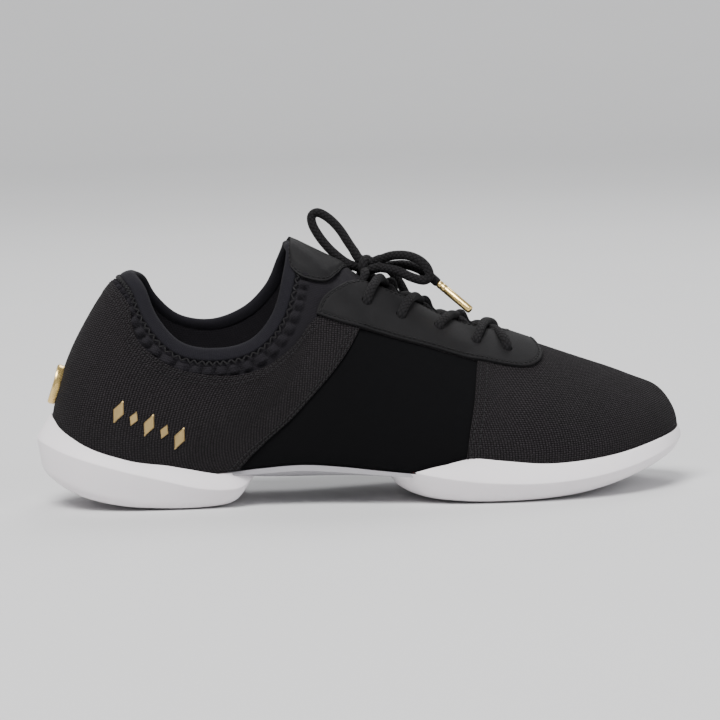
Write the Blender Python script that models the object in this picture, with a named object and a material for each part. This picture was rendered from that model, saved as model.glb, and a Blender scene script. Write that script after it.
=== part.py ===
"""Split-sole dance sneaker for a right foot: a canvas upper over a knitted sock, on two sole pods.

+X is the toe, +Z is up and -Y is the outer (lateral) side. The shoe stands on z = 0.
"""

import math

import bmesh
import bpy
from mathutils import Vector
from mathutils.bvhtree import BVHTree

# Overall sizes, in metres
LENGTH = 0.2827
WIDTH = 0.0970
SOLE_HEIGHT = 0.0400
HEIGHT = 0.1130

# Walls and clearances
GAP = 0.0003
UPPER_WALL = 0.0018
SOCK_WALL = 0.0028
EYESTAY_WALL = 0.0014
TAB_WALL = 0.0011
INSOLE_WALL = 0.0040
INSOLE_CLEARANCE = 0.0006

# Lacing
LACE = 0.0040
EYELET_HOLE = 0.0046
LACE_LIFT = 0.0007
CROSS_AHEAD = 0.0100
CROSS_OUT = 0.0140
CROSS_SAG = (0.0030, 0.0008, 0.0006, 0.0014)
AGLET_LENGTH = 0.0190
AGLET_DIAMETER = 0.0034
KNOT_LENGTH = 0.0115
KNOT_WIDTH = 0.0125
KNOT_HEIGHT = 0.0105

# Badge on the heel
BADGE_HEIGHT = 0.0165
BADGE_WIDTH = 0.0125
BADGE_WALL = 0.0016
BADGE_MIDDLE = 0.0520

# Fineness of the lofts
RIB_STEPS = 2
WALL_STEPS = 7
POD_STEPS = 3
CORD_SIDES = 2

# The last, one row for each section from the middle of the heel (first) to the tip of the toe (last).
# foot: where the wall starts, at the footbed. top: the collar's edge, and from the row "tongue_top"
# on, the ridge along the instep. x is a share of LENGTH from the heel, y of WIDTH (out is the lateral
# side), foot z of SOLE_HEIGHT, top z and lean of HEIGHT, belly of WIDTH. lean is how much lower the
# ridge is above the foot than at the top. fullness is the power of the section's curve.
SECTION_COLUMNS = (
    "foot_x", "foot_out", "foot_in", "foot_z", "top_x", "top_out", "top_in",
    "top_z_out", "top_z_in", "lean", "belly", "fullness",
)
SECTIONS = (
    (0.029, 0.020, 0.020, 0.390, 0.152, 0.020, 0.020, 0.906, 0.906, 0.000, 0.048, 1.50),
    (0.040, -0.120, 0.160, 0.388, 0.157, -0.062, 0.102, 0.898, 0.902, 0.000, 0.045, 1.50),
    (0.075, -0.228, 0.266, 0.385, 0.172, -0.142, 0.182, 0.846, 0.872, 0.000, 0.036, 1.48),
    (0.133, -0.288, 0.325, 0.380, 0.191, -0.208, 0.245, 0.734, 0.786, 0.000, 0.027, 1.45),
    (0.200, -0.300, 0.333, 0.378, 0.226, -0.250, 0.282, 0.637, 0.703, 0.000, 0.020, 1.40),
    (0.270, -0.305, 0.318, 0.385, 0.277, -0.262, 0.298, 0.612, 0.676, 0.000, 0.019, 1.40),
    (0.337, -0.312, 0.297, 0.425, 0.327, -0.255, 0.290, 0.640, 0.716, 0.015, 0.019, 1.50),
    (0.400, -0.330, 0.297, 0.452, 0.362, -0.232, 0.268, 0.735, 0.805, 0.045, 0.020, 1.65),
    (0.460, -0.360, 0.322, 0.425, 0.381, -0.190, 0.226, 0.880, 0.915, 0.090, 0.022, 1.80),
    (0.520, -0.398, 0.362, 0.378, 0.393, -0.100, 0.140, 0.985, 0.990, 0.140, 0.023, 1.90),
    (0.582, -0.428, 0.402, 0.335, 0.398, 0.020, 0.020, 1.000, 1.000, 0.190, 0.024, 1.95),
    (0.655, -0.447, 0.432, 0.310, 0.500, 0.020, 0.020, 0.866, 0.866, 0.168, 0.024, 1.90),
    (0.730, -0.447, 0.437, 0.300, 0.605, 0.024, 0.024, 0.706, 0.706, 0.120, 0.024, 1.90),
    (0.803, -0.408, 0.413, 0.310, 0.710, 0.030, 0.030, 0.617, 0.617, 0.095, 0.025, 1.95),
    (0.873, -0.328, 0.362, 0.345, 0.805, 0.036, 0.036, 0.530, 0.530, 0.068, 0.026, 2.00),
    (0.930, -0.212, 0.278, 0.400, 0.885, 0.044, 0.044, 0.458, 0.458, 0.052, 0.027, 2.00),
    (0.970, -0.080, 0.175, 0.450, 0.918, 0.053, 0.053, 0.423, 0.423, 0.044, 0.028, 2.10),
    (0.985, 0.060, 0.060, 0.475, 0.945, 0.060, 0.060, 0.392, 0.392, 0.015, 0.029, 2.25),
)
TONGUE_TOP = 10

# The two sole pods, one row for each point of the crease that runs round the pod at its widest.
# x and y as above. rim, crease, edge and belly are heights, as shares of SOLE_HEIGHT: of the upper
# edge, the crease, the lower edge of the side, and a ring half way in under the pod. flare and tuck
# are how far the rim and the lower edge lie inside the crease, as shares of WIDTH.
POD_COLUMNS = ("x", "y", "rim", "crease", "edge", "belly", "flare", "tuck")
HEEL_POD = (
    (0.000, 0.020, 0.990, 0.750, 0.400, 0.165, 0.062, 0.020),
    (0.013, -0.130, 0.945, 0.715, 0.350, 0.145, 0.060, 0.022),
    (0.053, -0.256, 0.830, 0.610, 0.230, 0.085, 0.052, 0.030),
    (0.115, -0.324, 0.680, 0.480, 0.105, 0.030, 0.044, 0.040),
    (0.185, -0.342, 0.560, 0.350, 0.040, 0.008, 0.040, 0.045),
    (0.250, -0.338, 0.462, 0.235, 0.022, 0.005, 0.034, 0.045),
    (0.303, -0.308, 0.425, 0.215, 0.062, 0.020, 0.022, 0.042),
    (0.328, -0.235, 0.408, 0.320, 0.170, 0.060, 0.010, 0.040),
    (0.334, -0.100, 0.402, 0.350, 0.210, 0.080, 0.006, 0.040),
    (0.335, 0.040, 0.402, 0.350, 0.210, 0.080, 0.006, 0.040),
    (0.335, 0.165, 0.402, 0.350, 0.210, 0.080, 0.006, 0.040),
    (0.329, 0.270, 0.408, 0.320, 0.170, 0.060, 0.010, 0.040),
    (0.304, 0.336, 0.440, 0.225, 0.062, 0.020, 0.022, 0.042),
    (0.250, 0.368, 0.490, 0.260, 0.022, 0.005, 0.034, 0.045),
    (0.185, 0.376, 0.580, 0.365, 0.040, 0.008, 0.040, 0.045),
    (0.115, 0.362, 0.695, 0.490, 0.105, 0.030, 0.044, 0.040),
    (0.053, 0.296, 0.835, 0.615, 0.230, 0.085, 0.052, 0.030),
    (0.013, 0.170, 0.945, 0.715, 0.350, 0.145, 0.060, 0.022),
)
FORE_POD = (
    (0.527, 0.030, 0.368, 0.345, 0.220, 0.085, 0.006, 0.042),
    (0.522, -0.150, 0.385, 0.365, 0.250, 0.095, 0.006, 0.042),
    (0.523, -0.290, 0.415, 0.395, 0.300, 0.105, 0.008, 0.040),
    (0.543, -0.385, 0.440, 0.395, 0.250, 0.070, 0.014, 0.040),
    (0.585, -0.447, 0.480, 0.330, 0.115, 0.025, 0.022, 0.040),
    (0.640, -0.484, 0.515, 0.265, 0.040, 0.006, 0.028, 0.042),
    (0.700, -0.499, 0.462, 0.225, 0.022, 0.004, 0.030, 0.044),
    (0.765, -0.490, 0.408, 0.210, 0.035, 0.006, 0.030, 0.044),
    (0.830, -0.450, 0.412, 0.235, 0.080, 0.028, 0.028, 0.042),
    (0.890, -0.370, 0.450, 0.295, 0.155, 0.080, 0.026, 0.038),
    (0.942, -0.252, 0.515, 0.375, 0.245, 0.155, 0.024, 0.032),
    (0.982, -0.100, 0.584, 0.462, 0.335, 0.235, 0.015, 0.026),
    (1.000, 0.060, 0.622, 0.512, 0.375, 0.262, 0.012, 0.024),
    (0.985, 0.210, 0.589, 0.470, 0.340, 0.240, 0.015, 0.026),
    (0.945, 0.335, 0.520, 0.380, 0.250, 0.160, 0.024, 0.032),
    (0.892, 0.423, 0.453, 0.300, 0.160, 0.085, 0.026, 0.038),
    (0.830, 0.478, 0.415, 0.240, 0.080, 0.028, 0.028, 0.042),
    (0.762, 0.500, 0.410, 0.215, 0.035, 0.006, 0.030, 0.044),
    (0.698, 0.490, 0.450, 0.225, 0.022, 0.004, 0.030, 0.044),
    (0.638, 0.456, 0.500, 0.265, 0.040, 0.006, 0.028, 0.042),
    (0.583, 0.402, 0.475, 0.330, 0.115, 0.025, 0.022, 0.040),
    (0.545, 0.325, 0.430, 0.385, 0.240, 0.070, 0.014, 0.040),
    (0.530, 0.200, 0.385, 0.360, 0.240, 0.090, 0.007, 0.042),
)
# Rings under each pod: the middle of the ring and its size beside the crease's, for x and for y.
HEEL_UNDER = {"middle": 0.165, "belly": (0.172, 0.80, 0.76), "flat": (0.220, 0.32, 0.56)}
FORE_UNDER = {"middle": 0.760, "belly": (0.752, 0.84, 0.80), "flat": (0.690, 0.36, 0.60)}
RIM_INNER = 0.060
LAST_TOP = 0.62

# The flexible bridge under the arch: x, lowest height of its belly and thickness of its edge, as
# shares of LENGTH, SOLE_HEIGHT and SOLE_HEIGHT.
BRIDGE = (
    (0.295, 0.300, 0.040),
    (0.340, 0.266, 0.055),
    (0.385, 0.250, 0.060),
    (0.430, 0.250, 0.060),
    (0.475, 0.256, 0.055),
    (0.520, 0.262, 0.045),
    (0.565, 0.262, 0.040),
)
BRIDGE_INSET = 0.008
BRIDGE_ACROSS = 10

# Side-view lines, as (share of LENGTH from the heel, share of HEIGHT). The canvas stops below the
# sock's collar, and both stop at the back of the eyestay.
EYESTAY_BACK = (
    (0.427, 0.735), (0.440, 0.772), (0.453, 0.806), (0.472, 0.826), (0.492, 0.828), (0.512, 0.812),
)
CANVAS_TOP_OUT = (
    (0.110, 0.856), (0.124, 0.858), (0.138, 0.832), (0.145, 0.785), (0.149, 0.715), (0.157, 0.655),
    (0.172, 0.610), (0.195, 0.566), (0.220, 0.534), (0.252, 0.514), (0.285, 0.505), (0.318, 0.509),
    (0.350, 0.534), (0.378, 0.578), (0.402, 0.635), (0.417, 0.685),
)
CANVAS_TOP_IN = (
    (0.110, 0.856), (0.124, 0.860), (0.140, 0.840), (0.149, 0.800), (0.156, 0.745), (0.166, 0.695),
    (0.182, 0.652), (0.202, 0.615), (0.226, 0.588), (0.254, 0.571), (0.285, 0.563), (0.318, 0.570),
    (0.350, 0.596), (0.378, 0.635), (0.402, 0.678), (0.417, 0.708),
)
EYESTAY_FRONT = (
    (0.750, 0.640), (0.766, 0.606), (0.774, 0.572), (0.773, 0.538), (0.760, 0.512), (0.738, 0.506),
    (0.695, 0.518), (0.650, 0.542), (0.600, 0.583), (0.550, 0.628), (0.500, 0.668), (0.460, 0.702),
)
SOCK_LOWER = (
    (0.040, 0.700), (0.110, 0.660), (0.170, 0.500), (0.240, 0.400), (0.310, 0.400), (0.380, 0.470),
    (0.440, 0.600), (0.500, 0.640), (0.580, 0.560), (0.660, 0.500), (0.740, 0.470), (0.770, 0.520),
)
SOCK_FRONT = 0.775
TAB_LOWER = (
    (0.380, 0.905), (0.400, 0.885), (0.420, 0.862), (0.445, 0.856), (0.463, 0.868), (0.482, 0.905),
)
TAB_FRONT = 0.492

# The throat, seen from above: x, and half width as a share of WIDTH.
THROAT = (
    (0.430, 0.250), (0.480, 0.205), (0.512, 0.165), (0.560, 0.125), (0.610, 0.102), (0.655, 0.088),
    (0.695, 0.076), (0.716, 0.056), (0.725, 0.022),
)
# Eyelets from the collar down: x, and distance from the ridge as a share of WIDTH.
EYELETS = ((0.505, 0.250), (0.557, 0.250), (0.614, 0.218), (0.672, 0.202), (0.720, 0.197))

# Bow, in metres from the middle of the knot. The free ends leave the knot at its front.
KNOT_X = 0.515
KNOT_SEAT = 0.0010
LOOP_BACK = (
    (-0.0064, 0.0008, 0.0006), (-0.0106, 0.0032, 0.0032), (-0.0158, 0.0065, 0.0080),
    (-0.0198, 0.0095, 0.0132), (-0.0224, 0.0118, 0.0182), (-0.0226, 0.0130, 0.0220),
    (-0.0198, 0.0130, 0.0234), (-0.0152, 0.0115, 0.0208), (-0.0108, 0.0090, 0.0160),
    (-0.0074, 0.0060, 0.0104), (-0.0043, 0.0031, 0.0055),
)
LOOP_FRONT = (
    (0.0050, -0.0022, 0.0030), (0.0108, -0.0062, 0.0050), (0.0166, -0.0103, 0.0052),
    (0.0215, -0.0130, 0.0034), (0.0248, -0.0145, 0.0002), (0.0258, -0.0152, -0.0036),
    (0.0234, -0.0152, -0.0054), (0.0182, -0.0136, -0.0040), (0.0120, -0.0103, -0.0012),
    (0.0048, -0.0052, 0.0000),
)
END_OUT = (
    (0.0062, 0.0016, -0.0005), (0.0107, 0.0006, 0.0002), (0.0162, -0.0026, 0.0006),
    (0.0216, -0.0060, -0.0010), (0.0263, -0.0088, -0.0040), (0.0299, -0.0112, -0.0072),
)
END_IN = (
    (0.0015, 0.0065, -0.0005), (0.0046, 0.0110, 0.0003), (0.0095, 0.0158, -0.0016),
    (0.0142, 0.0202, -0.0066), (0.0180, 0.0240, -0.0132), (0.0208, 0.0270, -0.0200),
)

# Colours
BLACK_CANVAS = (0.018, 0.015, 0.017, 1.0)
BLACK_KNIT = (0.016, 0.014, 0.018, 1.0)
BLACK_LEATHER = (0.020, 0.020, 0.022, 1.0)
BLACK_COTTON = (0.020, 0.019, 0.021, 1.0)
WHITE_FOAM = (0.800, 0.780, 0.790, 1.0)
GREY_RUBBER = (0.300, 0.295, 0.305, 1.0)
INSOLE_BLACK = (0.025, 0.025, 0.027, 1.0)
GOLD = (0.830, 0.620, 0.260, 1.0)

LAST_ROW = len(SECTIONS) - 1
RING = 2 * LAST_ROW
PROBE = 0.04


def column(name, rows=SECTIONS, names=SECTION_COLUMNS):
    """One column of a table, as a list."""
    return [row[names.index(name)] for row in rows]


def spline(values, at, closed=False):
    """Catmull-Rom curve through the values, at a row number that may lie between two rows."""
    count = len(values)
    if closed:
        start = math.floor(at)
        before, here, there, after = (values[(start + k) % count] for k in (-1, 0, 1, 2))
    else:
        at = min(max(at, 0.0), count - 1.0)
        start = min(int(at), count - 2)
        here, there = values[start], values[start + 1]
        before = values[start - 1] if start > 0 else 2 * here - there
        after = values[start + 2] if start + 2 < count else 2 * there - here
    part = at - start
    slope_here = (there - before) / 2
    slope_there = (after - here) / 2
    square, cube = part * part, part * part * part
    return (
        (2 * cube - 3 * square + 1) * here
        + (cube - 2 * square + part) * slope_here
        + (3 * square - 2 * cube) * there
        + (cube - square) * slope_there
    )


def smooth_line(points, steps, closed=False):
    """The points joined by a smooth curve, with the given number of steps between two of them."""
    spans = len(points) if closed else len(points) - 1
    places = [k / steps for k in range(spans * steps + (0 if closed else 1))]
    sides = range(len(points[0]))
    return [
        tuple(spline([p[axis] for p in points], at, closed) for axis in sides) for at in places
    ]


def around(first, outer, inner, last):
    """A column round the whole shoe: heel, lateral side, toe and back along the medial side."""
    return [first, *outer, last, *reversed(inner)]


def ring_column(outer_name, inner_name):
    outer, inner = column(outer_name), column(inner_name)
    return around(outer[0], outer[1:-1], inner[1:-1], outer[-1])


FOOT_RING = {
    "x": ring_column("foot_x", "foot_x"),
    "y": ring_column("foot_out", "foot_in"),
    "z": ring_column("foot_z", "foot_z"),
    "lean": ring_column("lean", "lean"),
    "belly": ring_column("belly", "belly"),
    "fullness": ring_column("fullness", "fullness"),
}


def edge_list(outer_name, inner_name):
    """The collar's edge as an open list, from the tongue's top round the heel to the tongue's top."""
    outer, inner = column(outer_name), column(inner_name)
    return [*reversed(inner[1 : TONGUE_TOP + 1]), *outer[: TONGUE_TOP + 1]]


COLLAR_EDGE = {
    "x": edge_list("top_x", "top_x"),
    "y": edge_list("top_out", "top_in"),
    "z": edge_list("top_z_out", "top_z_in"),
}
RIDGE = {
    "x": column("top_x")[TONGUE_TOP:],
    "y": column("top_out")[TONGUE_TOP:],
    "z": column("top_z_out")[TONGUE_TOP:],
}


def along(share):
    """X of a share of the shoe's length from the heel."""
    return (share - 0.5) * LENGTH


def foot_point(at):
    """Where the wall starts at the footbed. at runs 0 to RING: heel, lateral side, toe, medial side."""
    x, y, z = (spline(FOOT_RING[axis], at, True) for axis in "xyz")
    return Vector((along(x), y * WIDTH, z * SOLE_HEIGHT))


def section_number(at):
    """The row of the table at a place on the ring, and whether it is on the lateral side."""
    at %= RING
    return (at, True) if at <= LAST_ROW else (RING - at, False)


def top_point(at):
    """The collar's edge, or the ridge, above a place on the ring."""
    row, lateral = section_number(at)
    if row >= TONGUE_TOP:
        x, y, z = (spline(RIDGE[axis], row - TONGUE_TOP) for axis in "xyz")
    else:
        place = TONGUE_TOP + row if lateral else TONGUE_TOP - row
        x, y, z = (spline(COLLAR_EDGE[axis], place) for axis in "xyz")
    return Vector((along(x), y * WIDTH, z * HEIGHT))


def outward(at):
    """The foot outline's outward direction, in plan."""
    ahead = foot_point(at + PROBE) - foot_point(at - PROBE)
    return Vector((ahead.y, -ahead.x, 0.0)).normalized()


def bare_surface(at, rise):
    """The upper's outer surface. rise is 0 at the footbed and 1 at the collar's edge or the ridge."""
    if rise > 1:
        at, rise = RING - at, 2 - rise
    foot, top = foot_point(at), top_point(at)
    lean = spline(FOOT_RING["lean"], at, True) * HEIGHT
    belly = spline(FOOT_RING["belly"], at, True) * WIDTH
    power = 2 / spline(FOOT_RING["fullness"], at, True)
    angle = rise * math.pi / 2
    up = max(math.sin(angle), 0.0) ** power
    outside = max(math.cos(angle), 0.0) ** power
    point = foot.lerp(top, 1 - outside) + outward(at) * (belly * math.sin(math.pi * up**0.65))
    point.z = foot.z + (top.z - lean * outside - foot.z) * up
    return point


def surface(at, rise, out=0.0):
    """A point at a distance outside the upper's outer surface, or inside it if out is negative."""
    point = bare_surface(at, rise)
    if out == 0:
        return point
    row, _ = section_number(at)
    higher = rise + PROBE if row >= TONGUE_TOP else min(rise + PROBE, 1.0)
    forward = bare_surface(at + PROBE, rise) - bare_surface(at - PROBE, rise)
    upward = bare_surface(at, higher) - bare_surface(at, max(rise - PROBE, 0.0))
    return point + forward.cross(upward).normalized() * out


def material(name, colour, roughness, metallic=0.0):
    """A plain finish."""
    made = bpy.data.materials.new(name)
    made.use_nodes = True
    shader = made.node_tree.nodes["Principled BSDF"]
    shader.inputs["Base Color"].default_value = colour
    shader.inputs["Roughness"].default_value = roughness
    shader.inputs["Metallic"].default_value = metallic
    made.diffuse_color = colour
    return made


def collection(name):
    made = bpy.data.collections.new(name)
    bpy.context.scene.collection.children.link(made)
    return made


def add_object(name, mesh, finish=None):
    """Puts a mesh in the shoe's collection, or among the cutters if it has no finish."""
    piece = bpy.data.objects.new(name, mesh)
    (SHOE if finish else CUTTERS).objects.link(piece)
    if finish:
        mesh.materials.append(finish)
    else:
        piece.hide_render = True
        piece.display_type = "WIRE"
    return piece


def mesh_of(name, shape):
    """Turns a bmesh into a mesh with outward faces."""
    bmesh.ops.recalc_face_normals(shape, faces=shape.faces)
    mesh = bpy.data.meshes.new(name)
    shape.to_mesh(mesh)
    shape.free()
    mesh.shade_smooth()
    mesh.set_sharp_from_angle(angle=math.radians(35))
    return mesh


def boolean(piece, cutter, operation):
    """Cuts a piece by a cutter or joins it with another."""
    step = piece.modifiers.new(operation.lower(), "BOOLEAN")
    step.object = cutter
    step.operation = operation
    step.solver = "EXACT"


def apply_modifiers(piece):
    """Freezes a piece's modifiers into its mesh."""
    graph = bpy.context.evaluated_depsgraph_get()
    graph.update()
    mesh = bpy.data.meshes.new_from_object(piece.evaluated_get(graph))
    piece.modifiers.clear()
    piece.data = mesh


def corner_name(at, rise):
    """The two sides share their corners along the ridge and at both ends of the foot."""
    at %= RING
    row, lateral = section_number(at)
    if rise == 1 and row >= TONGUE_TOP and not lateral:
        at = RING - at
    return round(at, 5), round(rise, 5)


def sheet(name, rows, rises, out, wall, finish=None):
    """A shell that follows the upper's surface: its outside at the distance out, its inside a wall
    further in.
    """
    shape = bmesh.new()
    skins = []
    for depth in (out, out - wall):
        corners = {}
        for ring in (rows, [RING - row for row in rows]):
            for at in ring:
                for rise in rises:
                    key = corner_name(at, rise)
                    if key not in corners:
                        corners[key] = shape.verts.new(surface(*key, depth))
            for here, there in zip(ring, ring[1:]):
                for low, high in zip(rises, rises[1:]):
                    places = ((here, low), (there, low), (there, high), (here, high))
                    first, second, third, fourth = (corners[corner_name(*p)] for p in places)
                    shape.faces.new((first, second, third))
                    shape.faces.new((first, third, fourth))
        skins.append(corners)
    outside, inside = skins
    partner = {outside[key]: inside[key] for key in outside}
    for edge in [edge for edge in shape.edges if len(edge.link_faces) == 1]:
        first, second = edge.verts
        if first in partner:
            shape.faces.new((first, second, partner[second], partner[first]))
    return add_object(name, mesh_of(name, shape), finish)


def steps(first, last, count):
    return [first + (last - first) * k / count for k in range(count + 1)]


def rises_from(step):
    """The heights of the upper's own grid, from one of its steps to the top."""
    return [k / WALL_STEPS for k in range(step, WALL_STEPS + 1)]


def side_prism(name, outline, y_from, y_to):
    """A cutter with an outline in the side view, running across the shoe."""
    shape = bmesh.new()
    corners = [shape.verts.new((along(x), y_from, z * HEIGHT)) for x, z in outline]
    face = shape.faces.new(corners)
    grown = bmesh.ops.extrude_face_region(shape, geom=[face])
    moved = [part for part in grown["geom"] if isinstance(part, bmesh.types.BMVert)]
    bmesh.ops.translate(shape, verts=moved, vec=(0, y_to - y_from, 0))
    return add_object(name, mesh_of(name, shape))


def top_prism(name, outline, z_from, z_to):
    """A cutter with an outline seen from above."""
    shape = bmesh.new()
    corners = [shape.verts.new((x, y, z_from)) for x, y in outline]
    face = shape.faces.new(corners)
    grown = bmesh.ops.extrude_face_region(shape, geom=[face])
    moved = [part for part in grown["geom"] if isinstance(part, bmesh.types.BMVert)]
    bmesh.ops.translate(shape, verts=moved, vec=(0, 0, z_to - z_from))
    return add_object(name, mesh_of(name, shape))


def loft(rings, cap_first, cap_last):
    """Faces between closed rings of equally many points."""
    shape = bmesh.new()
    loops = [[shape.verts.new(point) for point in ring] for ring in rings]
    count = len(loops[0])
    for here, there in zip(loops, loops[1:]):
        for k in range(count):
            after = (k + 1) % count
            shape.faces.new((here[k], here[after], there[after], there[k]))
    if cap_first:
        shape.faces.new(loops[0])
    if cap_last:
        shape.faces.new(loops[-1])
    return shape


def ridge_y(x):
    """Y of the instep's ridge at an X."""
    shares = [along(share) for share in RIDGE["x"]]
    for k in range(len(shares) - 1):
        if x <= shares[k + 1]:
            part = max(0.0, (x - shares[k]) / (shares[k + 1] - shares[k]))
            return (RIDGE["y"][k] * (1 - part) + RIDGE["y"][k + 1] * part) * WIDTH
    return RIDGE["y"][-1] * WIDTH


# Cutters shared by several pieces

def throat_cutter():
    """The throat between the two sides of the eyestay, seen from above."""
    line = smooth_line(THROAT, 2)
    outer = [(along(x), ridge_y(along(x)) - half * WIDTH) for x, half in line]
    inner = [(along(x), ridge_y(along(x)) + half * WIDTH) for x, half in line]
    return top_prism("throat_cutter", outer + inner[::-1], 0.4 * HEIGHT, 1.4 * HEIGHT)


def collar_cutter(name, canvas_top, y_from, y_to):
    """What the canvas leaves to the sock's collar, above a line in the side view."""
    line = (*canvas_top, *EYESTAY_BACK)
    back_z = canvas_top[0][1]
    outline = [(-0.1, back_z), *line, (line[-1][0], 1.3), (-0.1, 1.3)]
    return side_prism(name, outline, y_from, y_to)


def eyelet_cutters():
    """Round holes square to the surface, each a cutter of its own."""
    made = []
    for side in (-1, 1):
        for number, (x, away) in enumerate(EYELETS):
            place, normal = drop_on_upper(along(x), ridge_y(along(x)) + side * away * WIDTH)
            shape = bmesh.new()
            bmesh.ops.create_cone(
                shape, cap_ends=True, segments=8, depth=8 * UPPER_WALL,
                radius1=EYELET_HOLE / 2, radius2=EYELET_HOLE / 2,
            )
            turn = normal.to_track_quat("Z", "Y").to_matrix().to_4x4()
            bmesh.ops.transform(shape, matrix=turn, verts=shape.verts)
            bmesh.ops.translate(shape, verts=shape.verts, vec=place)
            name = f"eyelet_cutter_{'out' if side < 0 else 'in'}_{number}"
            made.append(add_object(name, mesh_of(name, shape)))
    return made


def joined(name, pieces):
    """Copies of several separate cutters as one cutter."""
    shape = bmesh.new()
    for piece in pieces:
        shape.from_mesh(piece.data)
    made = add_object(name, mesh_of(name, shape))
    return made


def drop_on(tree, x, y):
    """The highest point of a surface above a place, and its normal there."""
    place, normal, _, _ = tree.ray_cast(Vector((x, y, 2 * HEIGHT)), Vector((0, 0, -1)))
    return place, normal


def drop_on_upper(x, y):
    return drop_on(UPPER_TREE, x, y)


def tree_of(pieces):
    """A search tree of the pieces' finished surfaces."""
    graph = bpy.context.evaluated_depsgraph_get()
    graph.update()
    shape = bmesh.new()
    for piece in pieces:
        mesh = piece.evaluated_get(graph).to_mesh()
        shape.from_mesh(mesh)
        piece.evaluated_get(graph).to_mesh_clear()
    tree = BVHTree.FromBMesh(shape)
    shape.free()
    return tree


def last_form(name, out, floor, top_rise):
    """A closed block with the upper's outside, from the footbed up, for cutting the soles."""
    places = steps(0, LAST_ROW, LAST_ROW * RIB_STEPS)
    rises = steps(0, top_rise, 6)
    ring = [*places, *[RING - at for at in reversed(places[1:-1])]]
    levels = []
    for rise in rises:
        level = [surface(at, rise, out) for at in ring]
        if rise == 0:
            for point in level:
                point.z -= floor
        levels.append(level)
    shape = loft(levels, False, False)
    shape.verts.ensure_lookup_table()
    count = len(ring)
    top = (len(rises) - 1) * count
    for start in (0, top):
        for k in range(len(places) - 1):
            left, right = (start + k, start + k + 1)
            far_left, far_right = (start + (count - k) % count, start + count - k - 1)
            corners = dict.fromkeys((left, right, far_right, far_left))
            shape.faces.new([shape.verts[c] for c in corners])
    return add_object(name, mesh_of(name, shape))


def pod(name, rows, under, grow=0.0, finish=None):
    """A sole pod: rim, crease, lower edge, rounded belly and a flat spot to stand on."""
    count = len(rows) * POD_STEPS
    places = [k / POD_STEPS for k in range(count)]
    table = {key: column(key, rows, POD_COLUMNS) for key in POD_COLUMNS}
    value = {key: [spline(table[key], at, True) for at in places] for key in POD_COLUMNS}
    crease = [Vector((along(x), y * WIDTH, 0)) for x, y in zip(value["x"], value["y"])]
    out = []
    for k in range(count):
        ahead = crease[(k + 1) % count] - crease[k - 1]
        out.append(Vector((ahead.y, -ahead.x, 0)).normalized())
    if sum(o.x * c.x for o, c in zip(out, crease)) - sum(out[k].x for k in range(count)) * (
        along(under["middle"])
    ) < 0:
        out = [-direction for direction in out]

    def ring(key, inset, height_from):
        points = []
        for k in range(count):
            inward = (value[inset][k] if inset else 0.0) * WIDTH - grow
            points.append(crease[k] - out[k] * inward)
            points[-1].z = value[key][k] * SOLE_HEIGHT + height_from
        return points

    def scaled(key):
        middle, scale_x, scale_y = under[key]
        centre_y = sum(point.y for point in crease) / count
        points = []
        for k in range(count):
            x = along(middle) + (crease[k].x - along(under["middle"])) * scale_x
            y = centre_y + (crease[k].y - centre_y) * scale_y
            z = value["belly"][k] * SOLE_HEIGHT if key == "belly" else 0.0
            points.append(Vector((x, y, z - grow)) + out[k] * grow)
        return points

    rim = ring("rim", "flare", grow)
    lip = [point - direction * RIM_INNER * WIDTH for point, direction in zip(rim, out)]
    rings = [lip, rim, ring("crease", None, 0.0), ring("edge", "tuck", -grow)]
    rings += [scaled("belly"), scaled("flat")]
    return add_object(name, mesh_of(name, loft(rings, True, True)), finish)


def bridge(finish):
    """The thin bridge under the arch, flat on top and rounded below."""
    line = smooth_line(BRIDGE, 2)
    rings = []
    for x, lowest, edge in line:
        outer, inner = foot_at(x, True), foot_at(x, False)
        inset = BRIDGE_INSET * WIDTH
        left, right = outer.y + inset, inner.y - inset
        top = min(outer.z, inner.z) - GAP
        edge_z = top - edge * SOLE_HEIGHT
        ring = [Vector((along(x), right, top)), Vector((along(x), left, top))]
        for k in range(BRIDGE_ACROSS + 1):
            part = k / BRIDGE_ACROSS
            hang = (1 - (2 * part - 1) ** 2) ** 0.75
            z = edge_z + (lowest * SOLE_HEIGHT - edge_z) * hang
            ring.append(Vector((along(x), left + (right - left) * part, z)))
        rings.append(ring)
    piece = add_object("arch_bridge", mesh_of("arch_bridge", loft(rings, True, True)), finish)
    return piece


def foot_at(x, lateral):
    """The footbed's edge at a share of the length, on one side."""
    low, high = (0.0, LAST_ROW) if lateral else (float(LAST_ROW), float(RING))
    for _ in range(40):
        middle = (low + high) / 2
        if (spline(FOOT_RING["x"], middle, True) < x) == lateral:
            low = middle
        else:
            high = middle
    return foot_point(low)


def insole(finish):
    """The footbed inside the upper, on the pods and the bridge."""
    places = steps(0, LAST_ROW, LAST_ROW * 2)
    inset = UPPER_WALL + INSOLE_CLEARANCE
    ring = [*places, *[RING - at for at in reversed(places[1:-1])]]
    count = len(ring)
    bottom = []
    for at in ring:
        bottom.append(foot_point(at) - outward(at) * inset)
    top = [point + Vector((0, 0, INSOLE_WALL)) for point in bottom]
    shape = loft([bottom, top], False, False)
    shape.verts.ensure_lookup_table()
    for start in (0, count):
        for k in range(len(places) - 1):
            corners = dict.fromkeys(
                (start + k, start + k + 1, start + count - k - 1, start + (count - k) % count)
            )
            shape.faces.new([shape.verts[c] for c in corners])
    return add_object("insole", mesh_of("insole", shape), finish)


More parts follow.
